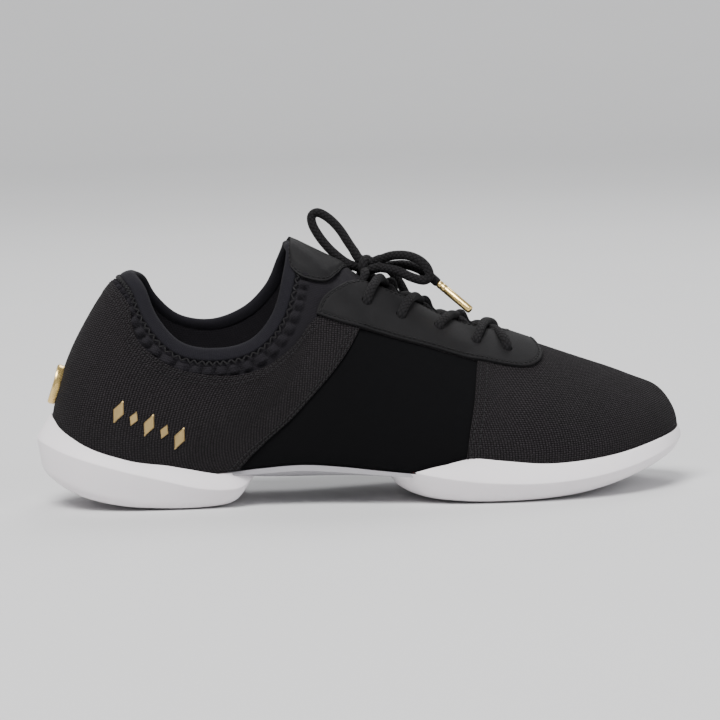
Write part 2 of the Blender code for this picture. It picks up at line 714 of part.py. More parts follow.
def tube(name, points, diameter, finish=None, between=3):
    """A cord through the points, as a closed mesh with capped ends."""
    line = smooth_line(points, between) if between > 1 else points
    curve = bpy.data.curves.new(name, "CURVE")
    curve.dimensions = "3D"
    curve.bevel_depth = diameter / 2
    curve.bevel_resolution = CORD_SIDES
    curve.use_fill_caps = True
    run = curve.splines.new("POLY")
    run.points.add(len(line) - 1)
    for place, point in zip(run.points, line):
        place.co = (*point, 1)
    return as_mesh(name, curve, finish)


def as_mesh(name, curve, finish):
    """A curve's shape as a mesh object, with its caps welded."""
    holder = bpy.data.objects.new(name + "_curve", curve)
    bpy.context.scene.collection.objects.link(holder)
    graph = bpy.context.evaluated_depsgraph_get()
    graph.update()
    mesh = bpy.data.meshes.new_from_object(holder.evaluated_get(graph))
    bpy.data.objects.remove(holder)
    shape = bmesh.new()
    shape.from_mesh(mesh)
    bmesh.ops.remove_doubles(shape, verts=shape.verts, dist=0.00001)
    return add_object(name, mesh_of(name, shape), finish)


def throat_half(x):
    """Half width of the throat at a share of the length, in metres."""
    line = smooth_line(THROAT, 4)
    nearest = min(line, key=lambda point: abs(point[0] - x))
    return nearest[1] * WIDTH


def over_surface(tree, x, y, lift):
    """A point for a lace's middle, resting on a surface."""
    place, normal = drop_on(tree, x, y)
    return place + normal * (LACE / 2 + lift)


def cross_route(number, side):
    """One leg of a crossing: in at an eyelet, over the ridge and down on the other side.

    The last crossing's legs start at the bottom eyelets. The others come out of the throat.
    """
    share, away = EYELETS[number]
    x = along(share)
    bottom_share, bottom_away = EYELETS[-1]
    bottom = along(bottom_share)
    last = number == len(EYELETS) - 2
    over = (x + bottom) / 2 if last else x + CROSS_AHEAD
    points = []
    for part in (0.0, 0.3, 0.6, 1.0):
        here = x + (over - x) * part
        from_ridge = side * away * WIDTH * (1 - part)
        place = over_surface(LACE_TREE, here, ridge_y(here) + from_ridge, LACE_LIFT)
        inside_throat = 1 - (from_ridge / throat_half(here / LENGTH + 0.5)) ** 2
        place.z -= CROSS_SAG[number] * max(inside_throat, 0.0)
        points.append(place)
    if last:
        for part in (0.4, 0.7, 1.0):
            here = over + (bottom - over) * part
            y = ridge_y(here) - side * bottom_away * WIDTH * part
            points.append(over_surface(LACE_TREE, here, y, LACE_LIFT))
        return points
    far = x + CROSS_OUT
    half = throat_half(share + CROSS_OUT / LENGTH)
    inside = ridge_y(far) - side * max(half - LACE / 2 - 2 * GAP, 0.0)
    points.append(over_surface(SOCK_TREE, far, inside, LACE_LIFT))
    return points


def lacing(finish):
    """Four crossings, each two legs joined where they meet."""
    for number in range(len(EYELETS) - 1):
        legs = []
        for side in (-1, 1):
            points = cross_route(number, side)
            name = f"lace_cross_{number + 1}" if side < 0 else f"lace_leg_{number + 1}"
            legs.append(tube(name, points, LACE, finish if side < 0 else None, 2))
        boolean(legs[0], legs[1], "UNION")


def knot(centre, finish):
    """The bow's knot, a lumpy ball a little wider than it is long."""
    shape = bmesh.new()
    bmesh.ops.create_uvsphere(shape, u_segments=14, v_segments=8, radius=0.5)
    for vertex in shape.verts:
        vertex.co.x *= KNOT_LENGTH
        vertex.co.y *= KNOT_WIDTH
        vertex.co.z *= KNOT_HEIGHT
    bmesh.ops.translate(shape, verts=shape.verts, vec=centre)
    return add_object("lace_knot", mesh_of("lace_knot", shape), finish)


def aglet(name, start, direction, finish):
    """The metal tip of a lace, a closed tube seen from outside."""
    shape = bmesh.new()
    radius = AGLET_DIAMETER / 2
    bmesh.ops.create_cone(
        shape, cap_ends=True, segments=12, radius1=radius, radius2=radius, depth=AGLET_LENGTH
    )
    turn = direction.to_track_quat("Z", "Y").to_matrix().to_4x4()
    bmesh.ops.transform(shape, matrix=turn, verts=shape.verts)
    bmesh.ops.translate(
        shape, verts=shape.verts, vec=start + direction * (AGLET_LENGTH / 2 + GAP)
    )
    return add_object(name, mesh_of(name, shape), finish)


def badge(finish):
    """A plain oval plate bent round the back of the heel."""
    plate = sheet(
        "heel_badge", steps(0, 1.6, 5), steps(0.18, 0.62, 8), GAP + BADGE_WALL, BADGE_WALL, finish
    )
    shape = bmesh.new()
    bmesh.ops.create_cone(
        shape, cap_ends=True, segments=24, radius1=0.5, radius2=0.5, depth=0.25 * LENGTH
    )
    middle = surface(0, 0.4).x
    for vertex in shape.verts:
        across, tall, deep = vertex.co
        vertex.co = Vector((
            middle + deep * 0.5,
            FOOT_RING["y"][0] * WIDTH + across * BADGE_WIDTH,
            BADGE_MIDDLE + tall * BADGE_HEIGHT,
        ))
    cutter = add_object("badge_cutter", mesh_of("badge_cutter", shape))
    boolean(plate, cutter, "INTERSECT")
    return plate


for old in list(bpy.data.objects):
    bpy.data.objects.remove(old)
SHOE = collection("dance_sneaker")
CUTTERS = collection("cutters")

canvas = material("canvas", BLACK_CANVAS, 0.92)
knit = material("knit", BLACK_KNIT, 0.85)
leather = material("leather", BLACK_LEATHER, 0.55)
cotton = material("cotton", BLACK_COTTON, 0.90)
foam = material("foam", WHITE_FOAM, 0.45)
rubber = material("bridge_rubber", GREY_RUBBER, 0.60)
lining = material("insole_lining", INSOLE_BLACK, 0.95)
gold = material("gold", GOLD, 0.25, 1.0)

# Upper: one hollow wall, open at the collar, the throat and underneath
far_y = WIDTH
middle_y = FOOT_RING["y"][0] * WIDTH
whole_foot = steps(0, LAST_ROW, LAST_ROW * RIB_STEPS)
upper = sheet("upper", whole_foot, rises_from(0), 0.0, UPPER_WALL, canvas)
UPPER_TREE = tree_of([upper])
throat = throat_cutter()
lap = 2 * UPPER_WALL
collar_out = collar_cutter("collar_cutter_out", CANVAS_TOP_OUT, -far_y, middle_y + lap)
collar_in = collar_cutter("collar_cutter_in", CANVAS_TOP_IN, middle_y - lap, far_y)
eyelets = joined("eyelet_cutters", eyelet_cutters())
for cutter in (collar_out, collar_in, throat, eyelets):
    boolean(upper, cutter, "DIFFERENCE")

# Sock: knitted collar and tongue in one
sock_out = -(UPPER_WALL + GAP)
sock = sheet(
    "knit_sock", steps(0, 14.5, 29), rises_from(2), sock_out, SOCK_WALL, knit
)
sock_line = smooth_line(SOCK_LOWER, 2)
sock_outline = [(-0.1, SOCK_LOWER[0][1]), *sock_line, (SOCK_FRONT, 1.4), (-0.1, 1.4)]
boolean(sock, side_prism("sock_cutter", sock_outline, -far_y, far_y), "INTERSECT")

# Tab on the tongue's top
tab_out = sock_out + GAP + TAB_WALL
tab = sheet("tongue_tab", steps(7.5, 12, 9), rises_from(3), tab_out, TAB_WALL, leather)
tab_line = smooth_line(TAB_LOWER, 3)
tab_outline = [*tab_line, (TAB_FRONT, 1.4), (TAB_LOWER[0][0] - 0.02, 1.4)]
boolean(tab, side_prism("tab_cutter", tab_outline, -far_y, far_y), "INTERSECT")

# Eyestay: a leather overlay round the throat
eyestay = sheet(
    "eyestay", steps(7, 15.5, 17), rises_from(3), GAP + EYESTAY_WALL, EYESTAY_WALL, leather
)
eyestay_line = smooth_line((*EYESTAY_FRONT, *EYESTAY_BACK), 2)
eyestay_outline = [*eyestay_line, (EYESTAY_BACK[-1][0], 1.0), (EYESTAY_FRONT[0][0], 1.0)]
LACE_TREE = tree_of([eyestay, sock])
SOCK_TREE = tree_of([sock])
boolean(eyestay, side_prism("eyestay_cutter", eyestay_outline, -far_y, far_y), "INTERSECT")
for cutter in (throat, eyelets):
    boolean(eyestay, cutter, "DIFFERENCE")

# Sole pods, hollowed for the upper to sit in, and the bridge between them
last = last_form("last_cutter", GAP, GAP, LAST_TOP)
heel_sole = pod("heel_sole", HEEL_POD, HEEL_UNDER, 0.0, foam)
fore_sole = pod("forefoot_sole", FORE_POD, FORE_UNDER, 0.0, foam)
for piece in (heel_sole, fore_sole):
    boolean(piece, last, "DIFFERENCE")
arch = bridge(rubber)
for name, rows, under in (
    ("heel_pod_grown", HEEL_POD, HEEL_UNDER),
    ("fore_pod_grown", FORE_POD, FORE_UNDER),
):
    boolean(arch, pod(name, rows, under, GAP), "DIFFERENCE")

insole(lining)
badge(gold)

# Laces: the crossings as one solid, and the bow
lacing(cotton)
knot_x = along(KNOT_X)
knot_seat, _ = drop_on(SOCK_TREE, knot_x, ridge_y(knot_x))
knot_middle = knot_seat + Vector((0, 0, KNOT_HEIGHT / 2 + KNOT_SEAT))
knot(knot_middle, cotton)
for name, route in (("lace_loop_back", LOOP_BACK), ("lace_loop_front", LOOP_FRONT)):
    tube(name, [tuple(knot_middle + Vector(point)) for point in route], LACE, cotton, 2)
for side, route in (("out", END_OUT), ("in", END_IN)):
    points = [knot_middle + Vector(point) for point in route]
    tube(f"lace_end_{side}", [tuple(point) for point in points], LACE, cotton, 2)
    aglet(f"aglet_{side}", points[-1], (points[-1] - points[-2]).normalized(), gold)

for piece in SHOE.objects:
    apply_modifiers(piece)
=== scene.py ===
import math

import bmesh
import bpy
import numpy as np
from mathutils import Matrix, Vector


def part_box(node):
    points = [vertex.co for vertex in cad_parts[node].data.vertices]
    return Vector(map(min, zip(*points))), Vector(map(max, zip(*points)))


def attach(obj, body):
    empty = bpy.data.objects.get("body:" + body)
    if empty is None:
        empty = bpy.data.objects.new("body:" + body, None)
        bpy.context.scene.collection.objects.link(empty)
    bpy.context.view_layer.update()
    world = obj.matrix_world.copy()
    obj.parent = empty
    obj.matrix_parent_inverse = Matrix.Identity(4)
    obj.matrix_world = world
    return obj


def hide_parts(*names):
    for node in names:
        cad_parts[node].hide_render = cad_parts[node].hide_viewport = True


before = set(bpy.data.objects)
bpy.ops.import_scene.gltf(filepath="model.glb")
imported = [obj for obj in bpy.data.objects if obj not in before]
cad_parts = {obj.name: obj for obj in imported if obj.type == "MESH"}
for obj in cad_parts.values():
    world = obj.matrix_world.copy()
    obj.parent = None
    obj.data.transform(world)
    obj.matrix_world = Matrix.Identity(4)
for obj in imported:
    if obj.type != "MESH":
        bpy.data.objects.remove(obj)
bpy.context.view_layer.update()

# The camera stands where the photograph was taken, a little above the shoe and rolled by a degree or two
photoCamera = {
    "azimuth": -4.0,
    "elevation": 6.5,
    "roll": 1.6,
    "distance": 1.40,
    "aim": (0, 0, 0.0585),
    "lens": 160.7,
}


def placeCamera(s):
    turn, lift, roll = (math.radians(s[key]) for key in ("azimuth", "elevation", "roll"))
    back = Vector((
        math.sin(turn) * math.cos(lift), -math.cos(turn) * math.cos(lift), math.sin(lift)
    ))
    right = Vector((math.cos(turn), math.sin(turn), 0))
    up = right.cross(-back)
    across = right * math.cos(roll) - up * math.sin(roll)
    upright = right * math.sin(roll) + up * math.cos(roll)
    camera = bpy.data.objects.new("photoCamera", bpy.data.cameras.new("photoCamera"))
    bpy.context.scene.collection.objects.link(camera)
    camera.data.lens = s["lens"]
    camera.data.sensor_width = 36
    camera.data.sensor_fit = "HORIZONTAL"
    place = Matrix((across, upright, back)).transposed().to_4x4()
    place.translation = Vector(s["aim"]) + back * s["distance"]
    camera.matrix_world = place
    bpy.context.scene.camera = camera


placeCamera(photoCamera)
print("camera placed")


# Mesh making. A piece is a list of point grids, each with its cloth coordinates in metres

def runningLength(points, axis=0):
    steps = np.linalg.norm(np.diff(points, axis=axis), axis=-1)
    start = np.zeros_like(np.take(steps, [0], axis=axis))
    return np.concatenate((start, np.cumsum(steps, axis=axis)), axis=axis)


def clothGrid(across, along):
    return np.stack(np.broadcast_arrays(across, along), axis=-1)


def fullTurn(count):
    return np.linspace(0, 2 * math.pi, count)


def gridQuads(rows, columns):
    corner = np.arange(rows * columns).reshape(rows, columns)
    quads = np.stack((corner[:-1, :-1], corner[:-1, 1:], corner[1:, 1:], corner[1:, :-1]), axis=-1)
    return quads.reshape(-1, 4)


def addObject(name, data):
    made = bpy.data.objects.new(name, data)
    bpy.context.scene.collection.objects.link(made)
    return made


def closeMesh(mesh, weld):  # joins doubled points and turns the faces outwards
    shape = bmesh.new()
    shape.from_mesh(mesh)
    bmesh.ops.remove_doubles(shape, verts=shape.verts, dist=weld)
    bmesh.ops.dissolve_degenerate(shape, edges=shape.edges, dist=weld / 4)
    bmesh.ops.recalc_face_normals(shape, faces=shape.faces)
    shape.to_mesh(mesh)
    shape.free()
    mesh.shade_smooth()


def makePiece(name, grids, finish, nodes=(), weld=1e-5, sharp=60):
    points, quads, start = [], [], 0
    for places, _ in grids:
        points.append(places.reshape(-1, 3))
        quads.append(gridQuads(*places.shape[:2]) + start)
        start += len(points[-1])
    quads = np.concatenate(quads)
    cloth = np.concatenate([clothPlaces.reshape(-1, 2) for _, clothPlaces in grids])
    mesh = bpy.data.meshes.new(name)
    mesh.from_pydata(np.concatenate(points).tolist(), [], quads.tolist())
    mesh.uv_layers.new(name="cloth").data.foreach_set("uv", cloth[quads.ravel()].ravel())
    closeMesh(mesh, weld)
    mesh.set_sharp_from_angle(angle=math.radians(sharp))
    mesh.materials.append(finish)
    piece = addObject(name, mesh)
    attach(piece, "root")
    if nodes:
        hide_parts(*nodes)
    return piece


def smoothRun(values, at, closed=False):  # a smooth curve through the values, at places between them
    values, at = np.asarray(values, float), np.asarray(at, float)
    if closed:
        start = np.floor(at).astype(int)
        before, here, there, after = (values[(start + k) % len(values)] for k in (-1, 0, 1, 2))
    else:
        ends = 2 * values[:1] - values[1:2], values, 2 * values[-1:] - values[-2:-1]
        padded = np.concatenate(ends)
        at = np.clip(at, 0, len(values) - 1)
        start = np.minimum(at.astype(int), len(values) - 2)
        before, here, there, after = (padded[start + k] for k in range(4))
    part = at - start
    if values.ndim > 1:
        part = part[..., None]
    square, cube = part**2, part**3
    return (
        (2 * cube - 3 * square + 1) * here
        + (cube - 2 * square + part) * (there - before) / 2
        + (3 * square - 2 * cube) * there
        + (cube - square) * (after - here) / 2
    )


def smoothPath(points, between):
    return smoothRun(points, np.linspace(0, len(points) - 1, (len(points) - 1) * between + 1))


def unit(vectors):
    return vectors / np.maximum(np.linalg.norm(vectors, axis=-1, keepdims=True), 1e-12)


def evenly(points, step):  # the same path with points at even distances
    length = runningLength(points)
    count = max(2, round(length[-1] / step))
    places = np.linspace(0, length[-1], count + 1)
    return np.stack([np.interp(places, length, points[:, k]) for k in range(3)], axis=1)


def tubeGrid(path, radius, sides=16):
    # radius is one number or one for each point; the frame is carried along without twist
    radius = np.broadcast_to(np.asarray(radius, float), (len(path),))
    ahead = unit(np.gradient(path, axis=0))
    side, across = np.cross(ahead[0], (0.3, 0.2, 1.0)), []
    for direction in ahead:
        side = side - direction * np.dot(side, direction)
        side = side / np.linalg.norm(side)
        across.append(side)
    over = np.cross(ahead, across)[:, None]
    angle = fullTurn(sides + 1)[:, None]
    ring = np.array(across)[:, None] * np.cos(angle) + over * np.sin(angle)
    places = path[:, None] + ring * radius[:, None, None]
    around = np.linspace(0, 2 * math.pi * float(np.max(radius)), sides + 1)
    return places, clothGrid(around, runningLength(path)[:, None])


def cappedTube(path, radius):  # a tube whose ends close in a rounded cap
    radius = np.broadcast_to(np.asarray(radius, float), (len(path),))
    narrow = np.array((0.0, 0.45, 0.8))
    reach = np.sqrt(1 - narrow**2)[:, None] * 0.5
    head = path[0] + unit(path[0] - path[1]) * radius[0] * reach
    tail = path[-1] + unit(path[-1] - path[-2]) * radius[-1] * reach[::-1]
    wide = np.concatenate((narrow * radius[0], radius, narrow[::-1] * radius[-1]))
    return tubeGrid(np.concatenate((head, path, tail)), wide)


# Finishes. Each is worked out from the cloth coordinates or from the place on the shoe, in metres

class Finish:  # a material with short ways of adding nodes to it
    def __init__(self, name, s, **sockets):
        self.made = bpy.data.materials.new(name)
        self.made.use_nodes = True
        self.made.diffuse_color = (*s["colour"], 1)
        self.tree = self.made.node_tree
        self.sockets = self.tree.nodes["Principled BSDF"].inputs
        sockets.update(Base_Color=(*s["colour"], 1), Roughness=s["roughness"])
        for socket, value in sockets.items():
            self.sockets[socket.replace("_", " ")].default_value = value

    def add(self, kind, values=(), **settings):
        node = self.tree.nodes.new(kind)
        for key, value in settings.items():
            setattr(node, key, value)
        for socket, value in dict(values).items():
            self.feed(value, node.inputs[socket])
        return node

    def feed(self, value, socket):
        if isinstance(value, bpy.types.NodeSocket):
            self.tree.links.new(value, socket)
        else:
            socket.default_value = value

    def calc(self, operation, *values):
        node = self.add("ShaderNodeMath", operation=operation)
        for value, socket in zip(values, node.inputs):
            self.feed(value, socket)
        return node.outputs[0]

    def place(self, kind="Object"):
        return self.add("ShaderNodeTexCoord").outputs[kind]

    def parts(self, vector):
        return self.add("ShaderNodeSeparateXYZ", {"Vector": vector}).outputs

    def cloth(self):
        return self.parts(self.place("UV"))[:2]

    def noise(self, scale, detail=3.0, roughness=0.6):
        return self.add("ShaderNodeTexNoise", {
            "Vector": self.place(), "Scale": scale, "Detail": detail, "Roughness": roughness,
        }).outputs["Fac"]

    def span(self, value, low, high, toLow, toHigh):
        return self.add("ShaderNodeMapRange", {
            "Value": value, "From Min": low, "From Max": high, "To Min": toLow, "To Max": toHigh,
        }).outputs["Result"]

    def hump(self, value, wave=math.pi):
        return self.calc("ABSOLUTE", self.calc("SINE", self.calc("MULTIPLY", value, wave)))

    def threads(self, across, along):
        # plain weave: each crossing shows the warp or the weft, and both dive under at its edges
        floors = [self.calc("FLOOR", value) for value in (across, along)]
        parity = self.calc("PINGPONG", self.calc("ADD", *floors), 1.0)
        crest = [self.hump(value) for value in (across, along)]
        warp, weft = (
            self.calc("MULTIPLY", self.calc("POWER", one, 0.6), self.calc("POWER", other, 0.35))
            for one, other in (crest, crest[::-1])
        )
        shown = self.calc("MULTIPLY", warp, parity)
        return self.calc("MULTIPLY_ADD", weft, self.calc("SUBTRACT", 1.0, parity), shown), parity

    def paint(self, tone, s):  # from the shade to the colour
        node = self.add("ShaderNodeMix", data_type="RGBA")  # its colour sockets come last
        for value, k in ((tone, 0), ((*s["shade"], 1), 6), ((*s["colour"], 1), 7)):
            self.feed(value, node.inputs[k])
        self.feed(node.outputs[2], self.sockets["Base Color"])

    def gloss(self, value, low, high, smooth, rough):
        self.feed(self.span(value, low, high, smooth, rough), self.sockets["Roughness"])

    def emboss(self, *layers):  # heights and their depths, the coarse one first
        normal = None
        for height, depth in layers:
            values = {"Height": height, "Strength": 1.0, "Distance": depth}
            if normal is not None:
                values["Normal"] = normal
            normal = self.add("ShaderNodeBump", values).outputs["Normal"]
        self.feed(normal, self.sockets["Normal"])
        return self.made


def clothFinish(name, s):
    n = Finish(
        name, s, Sheen_Weight=s["sheen"], Sheen_Roughness=0.55, Specular_IOR_Level=s["specular"],
    )
    counted = []
    for along, pitch, scale in zip(n.cloth(), s["pitch"], (260.0, 310.0)):
        wander = n.calc("MULTIPLY", n.noise(scale, 2.0), pitch * 0.5)
        counted.append(n.calc("DIVIDE", n.calc("ADD", along, wander), pitch))
    height, parity = n.threads(*counted)
    fuzz = n.noise(5200.0, 2.0, 0.8)
    tone = n.span(height, 0.2, 0.95, 0.0, 1.15)
    for part in (
        n.span(n.noise(900.0, 4.0, 0.7), 0.3, 0.7, 0.6, 1.2), n.span(parity, 0.0, 1.0, 0.78, 1.05),
        n.span(n.noise(28.0, 3.0), 0.3, 0.7, 0.86, 1.1),
    ):
        tone = n.calc("MULTIPLY", tone, part)
    n.paint(tone, s)
    n.gloss(fuzz, 0.2, 0.8, s["roughness"] - 0.08, 1.0)
    return n.emboss((height, s["depth"]), (fuzz, s["depth"] * 0.35))


canvas = clothFinish("canvas", {
    "colour": (0.0250, 0.0222, 0.0242), "shade": (0.0008, 0.0006, 0.0008), "roughness": 0.92,
    "sheen": 0.015, "specular": 0.10, "pitch": (0.00125, 0.00092), "depth": 0.00050,
})
smoothPanel = clothFinish("smooth_panel", {
    "colour": (0.0036, 0.0036, 0.0041), "shade": (0.0020, 0.0020, 0.0023), "roughness": 0.85,
    "sheen": 0.004, "specular": 0.06, "pitch": (0.00042, 0.00042), "depth": 0.00004,
})
bindingCloth = clothFinish("binding_jersey", {
    "colour": (0.0105, 0.0098, 0.0135), "shade": (0.0045, 0.0042, 0.0060), "roughness": 0.85,
    "sheen": 0.02, "specular": 0.14, "pitch": (0.0007, 0.0006), "depth": 0.00008,
})
insoleCloth = clothFinish("insole_jersey", {
    "colour": (0.012, 0.012, 0.013), "shade": (0.004, 0.004, 0.0045), "roughness": 0.92,
    "sheen": 0.02, "specular": 0.1, "pitch": (0.0009, 0.0009), "depth": 0.00012,
})


def knitFinish(name, s):
    n = Finish(name, s, Sheen_Weight=0.02, Sheen_Roughness=0.5, Specular_IOR_Level=0.12)
    u, v = (n.calc("DIVIDE", along, pitch) for along, pitch in zip(n.cloth(), s["pitch"]))
    slant = n.calc("PINGPONG", u, 0.5)  # the two legs of each knitted loop lean towards each other
    v = n.calc("ADD", v, n.calc("MULTIPLY", slant, 1.1))
    leg, loop = n.hump(u, 2 * math.pi), n.hump(v)
    height = n.calc("MULTIPLY", n.calc("POWER", leg, 0.5), n.calc("POWER", loop, 0.5))
    fuzz = n.noise(4800.0, 2.0, 0.8)
    n.paint(n.calc("MULTIPLY", n.span(height, 0.0, 1.0, 0.2, 1.0), n.span(fuzz, 0.2, 0.8, 0.7, 1.2)), s)
    return n.emboss((height, s["depth"]), (fuzz, 0.00005))


knit = knitFinish("sock_knit", {
    "colour": (0.0165, 0.0150, 0.0185), "shade": (0.0040, 0.0036, 0.0048), "roughness": 0.88,
    "pitch": (0.0013, 0.0010), "depth": 0.00022,
})


def leatherFinish(name, s):
    n = Finish(name, s, Specular_IOR_Level=0.13, Sheen_Weight=0.004)
    grain = n.add(
        "ShaderNodeTexVoronoi", {"Vector": n.place(), "Scale": s["grain"]}, feature="DISTANCE_TO_EDGE",
    )
    furrow = n.span(grain.outputs["Distance"], 0.0, 0.25, 0.0, 1.0)
    pores = n.noise(2600.0, 3.0, 0.7)
    nap = n.span(n.noise(120.0, 4.0), 0.3, 0.7, 0.6, 1.1)
    n.paint(n.calc("MULTIPLY", nap, n.span(furrow, 0.0, 1.0, 0.85, 1.0)), s)
    n.gloss(pores, 0.25, 0.75, s["roughness"] - 0.1, s["roughness"] + 0.12)
    return n.emboss((furrow, s["depth"]), (pores, 0.00006))


leather = leatherFinish("nubuck", {
    "colour": (0.0085, 0.0082, 0.0088), "shade": (0.0045, 0.0043, 0.0047), "roughness": 0.66,
    "grain": 1500.0, "depth": 0.00003,
})


def braidFinish(name, s):
    n = Finish(name, s, Sheen_Weight=0.02, Sheen_Roughness=0.5, Specular_IOR_Level=0.15)
    across, along = n.cloth()
    u = n.calc("DIVIDE", across, s["around"] / s["strands"])
    v = n.calc("DIVIDE", along, s["pitch"])
    height, _ = n.threads(n.calc("ADD", u, v), n.calc("SUBTRACT", u, v))
    yarn = n.noise(3800.0, 2.0, 0.8)
    crossing = n.span(height, 0.0, 1.0, 0.15, 1.0)
    n.paint(n.calc("MULTIPLY", crossing, n.span(yarn, 0.2, 0.8, 0.7, 1.15)), s)
    return n.emboss((height, s["depth"]), (yarn, 0.00006))


laceBraid = braidFinish("lace_braid", {
    "colour": (0.0100, 0.0093, 0.0104), "shade": (0.0015, 0.0014, 0.0017), "roughness": 0.85,
    "strands": 6, "around": 2 * math.pi * 0.002, "pitch": 0.0021, "depth": 0.00040,
})


def threadFinish(name, colour, shade, ply=0.00035):
    s = {"colour": colour, "shade": shade, "roughness": 0.6}
    n = Finish(name, s, Sheen_Weight=0.02, Specular_IOR_Level=0.25)
    twist = n.calc("SINE", n.calc("MULTIPLY", n.calc("ADD", *n.cloth()), 2 * math.pi / ply))
    tone = n.span(twist, -1.0, 1.0, 0.2, 1.0)
    n.paint(tone, s)
    return n.emboss((tone, 0.00006))


thread = threadFinish("black_thread", (0.0125, 0.0118, 0.0132), (0.0035, 0.0033, 0.0038))
waxedThread = threadFinish("waxed_thread", (0.0050, 0.0047, 0.0052), (0.0018, 0.0017, 0.0020))


def soleFinish(name, s):
    n = Finish(
        name, s, Specular_IOR_Level=0.35, Subsurface_Weight=s["milky"],
        Subsurface_Radius=(0.004, 0.0035, 0.0035), Subsurface_Scale=1.0,
    )
    skin = n.noise(1500.0, 3.0, 0.7)
    low = n.span(n.parts(n.place())["Z"], 0.0, 0.006, 1.0, 0.0)  # painted shade, darker near the floor
    floorShade = n.calc("MULTIPLY", low, n.span(n.noise(420.0, 2.0, 0.5), 0.45, 0.7, 0.0, 1.0))
    cloudy = n.span(n.noise(22.0, 4.0), 0.3, 0.7, 0.75, 1.0)
    # painted shade: the foam is darker in patches near the floor
    n.paint(n.calc("SUBTRACT", cloudy, n.calc("MULTIPLY", floorShade, 0.5)), s)
    n.gloss(skin, 0.3, 0.7, s["roughness"] - 0.06, s["roughness"] + 0.1)
    return n.emboss((skin, 0.00003))


whiteFoam = soleFinish("white_foam", {
    "colour": (0.83, 0.79, 0.81), "shade": (0.70, 0.655, 0.68), "roughness": 0.48, "milky": 0.12,
})
bridgeRubber = soleFinish("bridge_rubber", {
    "colour": (0.33, 0.32, 0.34), "shade": (0.22, 0.215, 0.23), "roughness": 0.55, "milky": 0.0,
})


def goldFinish(name, s):
    n = Finish(name, s, Metallic=1.0)
    brushed = n.noise(1800.0, 3.0, 0.7)
    n.paint(n.span(n.noise(90.0), 0.3, 0.7, 0.5, 1.0), s)
    n.gloss(brushed, 0.3, 0.7, s["roughness"] - 0.05, s["roughness"] + 0.12)
    return n.emboss((brushed, 0.00001))


goldMetal = goldFinish("gold_metal", {
    "colour": (0.88, 0.65, 0.26), "shade": (0.62, 0.42, 0.14), "roughness": 0.24,
})
goldPrint = goldFinish("gold_print", {
    "colour": (0.52, 0.38, 0.17), "shade": (0.30, 0.21, 0.10), "roughness": 0.48,
})
print("finishes made")


# The bow's knot, loops and ends, from the middle of the knot, in metres

bow = {
    "thickness": 0.0040,
    "loopBack": (
        (-0.0064, 0.0008, 0.0006), (-0.0106, 0.0032, 0.0032), (-0.0158, 0.0065, 0.0080),
        (-0.0198, 0.0095, 0.0132), (-0.0224, 0.0118, 0.0182), (-0.0226, 0.0130, 0.0220),
        (-0.0198, 0.0130, 0.0234), (-0.0152, 0.0115, 0.0208), (-0.0108, 0.0090, 0.0160),
        (-0.0074, 0.0060, 0.0104), (-0.0043, 0.0031, 0.0055),
    ),
    "loopFront": (
        (0.0050, -0.0022, 0.0030), (0.0108, -0.0062, 0.0050), (0.0166, -0.0103, 0.0052),
        (0.0215, -0.0130, 0.0034), (0.0248, -0.0145, 0.0002), (0.0258, -0.0152, -0.0036),
        (0.0234, -0.0152, -0.0054), (0.0182, -0.0136, -0.0040), (0.0120, -0.0103, -0.0012),
        (0.0048, -0.0052, 0.0000),
    ),
    "endOut": (
        (0.0062, 0.0016, -0.0005), (0.0107, 0.0006, 0.0002), (0.0162, -0.0026, 0.0006),
        (0.0216, -0.0060, -0.0010), (0.0263, -0.0088, -0.0040), (0.0299, -0.0112, -0.0072),
    ),
    "endIn": (
        (0.0015, 0.0065, -0.0005), (0.0046, 0.0110, 0.0003), (0.0095, 0.0158, -0.0016),
        (0.0142, 0.0202, -0.0066), (0.0180, 0.0240, -0.0132), (0.0208, 0.0270, -0.0200),
    ),
    "squeezed": 0.42,
    "knotStrand": 0.0021,
    "knotStrands": (
        ((-0.0072, 0.0012, 0.0010), (-0.0030, 0.0016, -0.0004), (0.0020, 0.0018, -0.0012),
         (0.0068, 0.0015, -0.0005)),
        ((-0.0052, 0.0038, 0.0068), (-0.0030, 0.0018, 0.0034), (0.0010, -0.0006, 0.0018),
         (0.0058, -0.0028, 0.0034)),
        ((0.0056, -0.0058, 0.0004), (0.0020, -0.0040, -0.0008), (-0.0010, 0.0, -0.0018),
         (0.0008, 0.0046, -0.0012), (0.0020, 0.0072, -0.0005)),
    ),
}
aglet = {
    "length": 0.0190, "thickness": 0.0034, "clearance": 0.0003, "lipDepth": 0.0040,
    # a turned-in lip at each end and a crimped waist near the top: share of the length, of the radius
    "profile": (
        (0.0, 0.55), (0.0, 0.86), (0.015, 0.97), (0.035, 1.0), (0.080, 1.0), (0.095, 0.93),
        (0.115, 0.93), (0.130, 1.0), (0.200, 1.0), (0.215, 0.93), (0.235, 0.93), (0.250, 1.0),
        (0.60, 1.0), (0.95, 1.0), (0.975, 0.96), (0.992, 0.84), (1.0, 0.60), (1.0, 0.0),
    ),
}
knotLow, knotHigh = (np.array(corner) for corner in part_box("lace_knot"))
knotMiddle = (knotLow + knotHigh) / 2


def cordPath(points, between=8, step=0.0007):
    return evenly(smoothPath(points, between), step)


def addCord(name, path, radius, node, **ends):
    piece = makePiece(name, [cappedTube(path, radius)], laceBraid, [node])


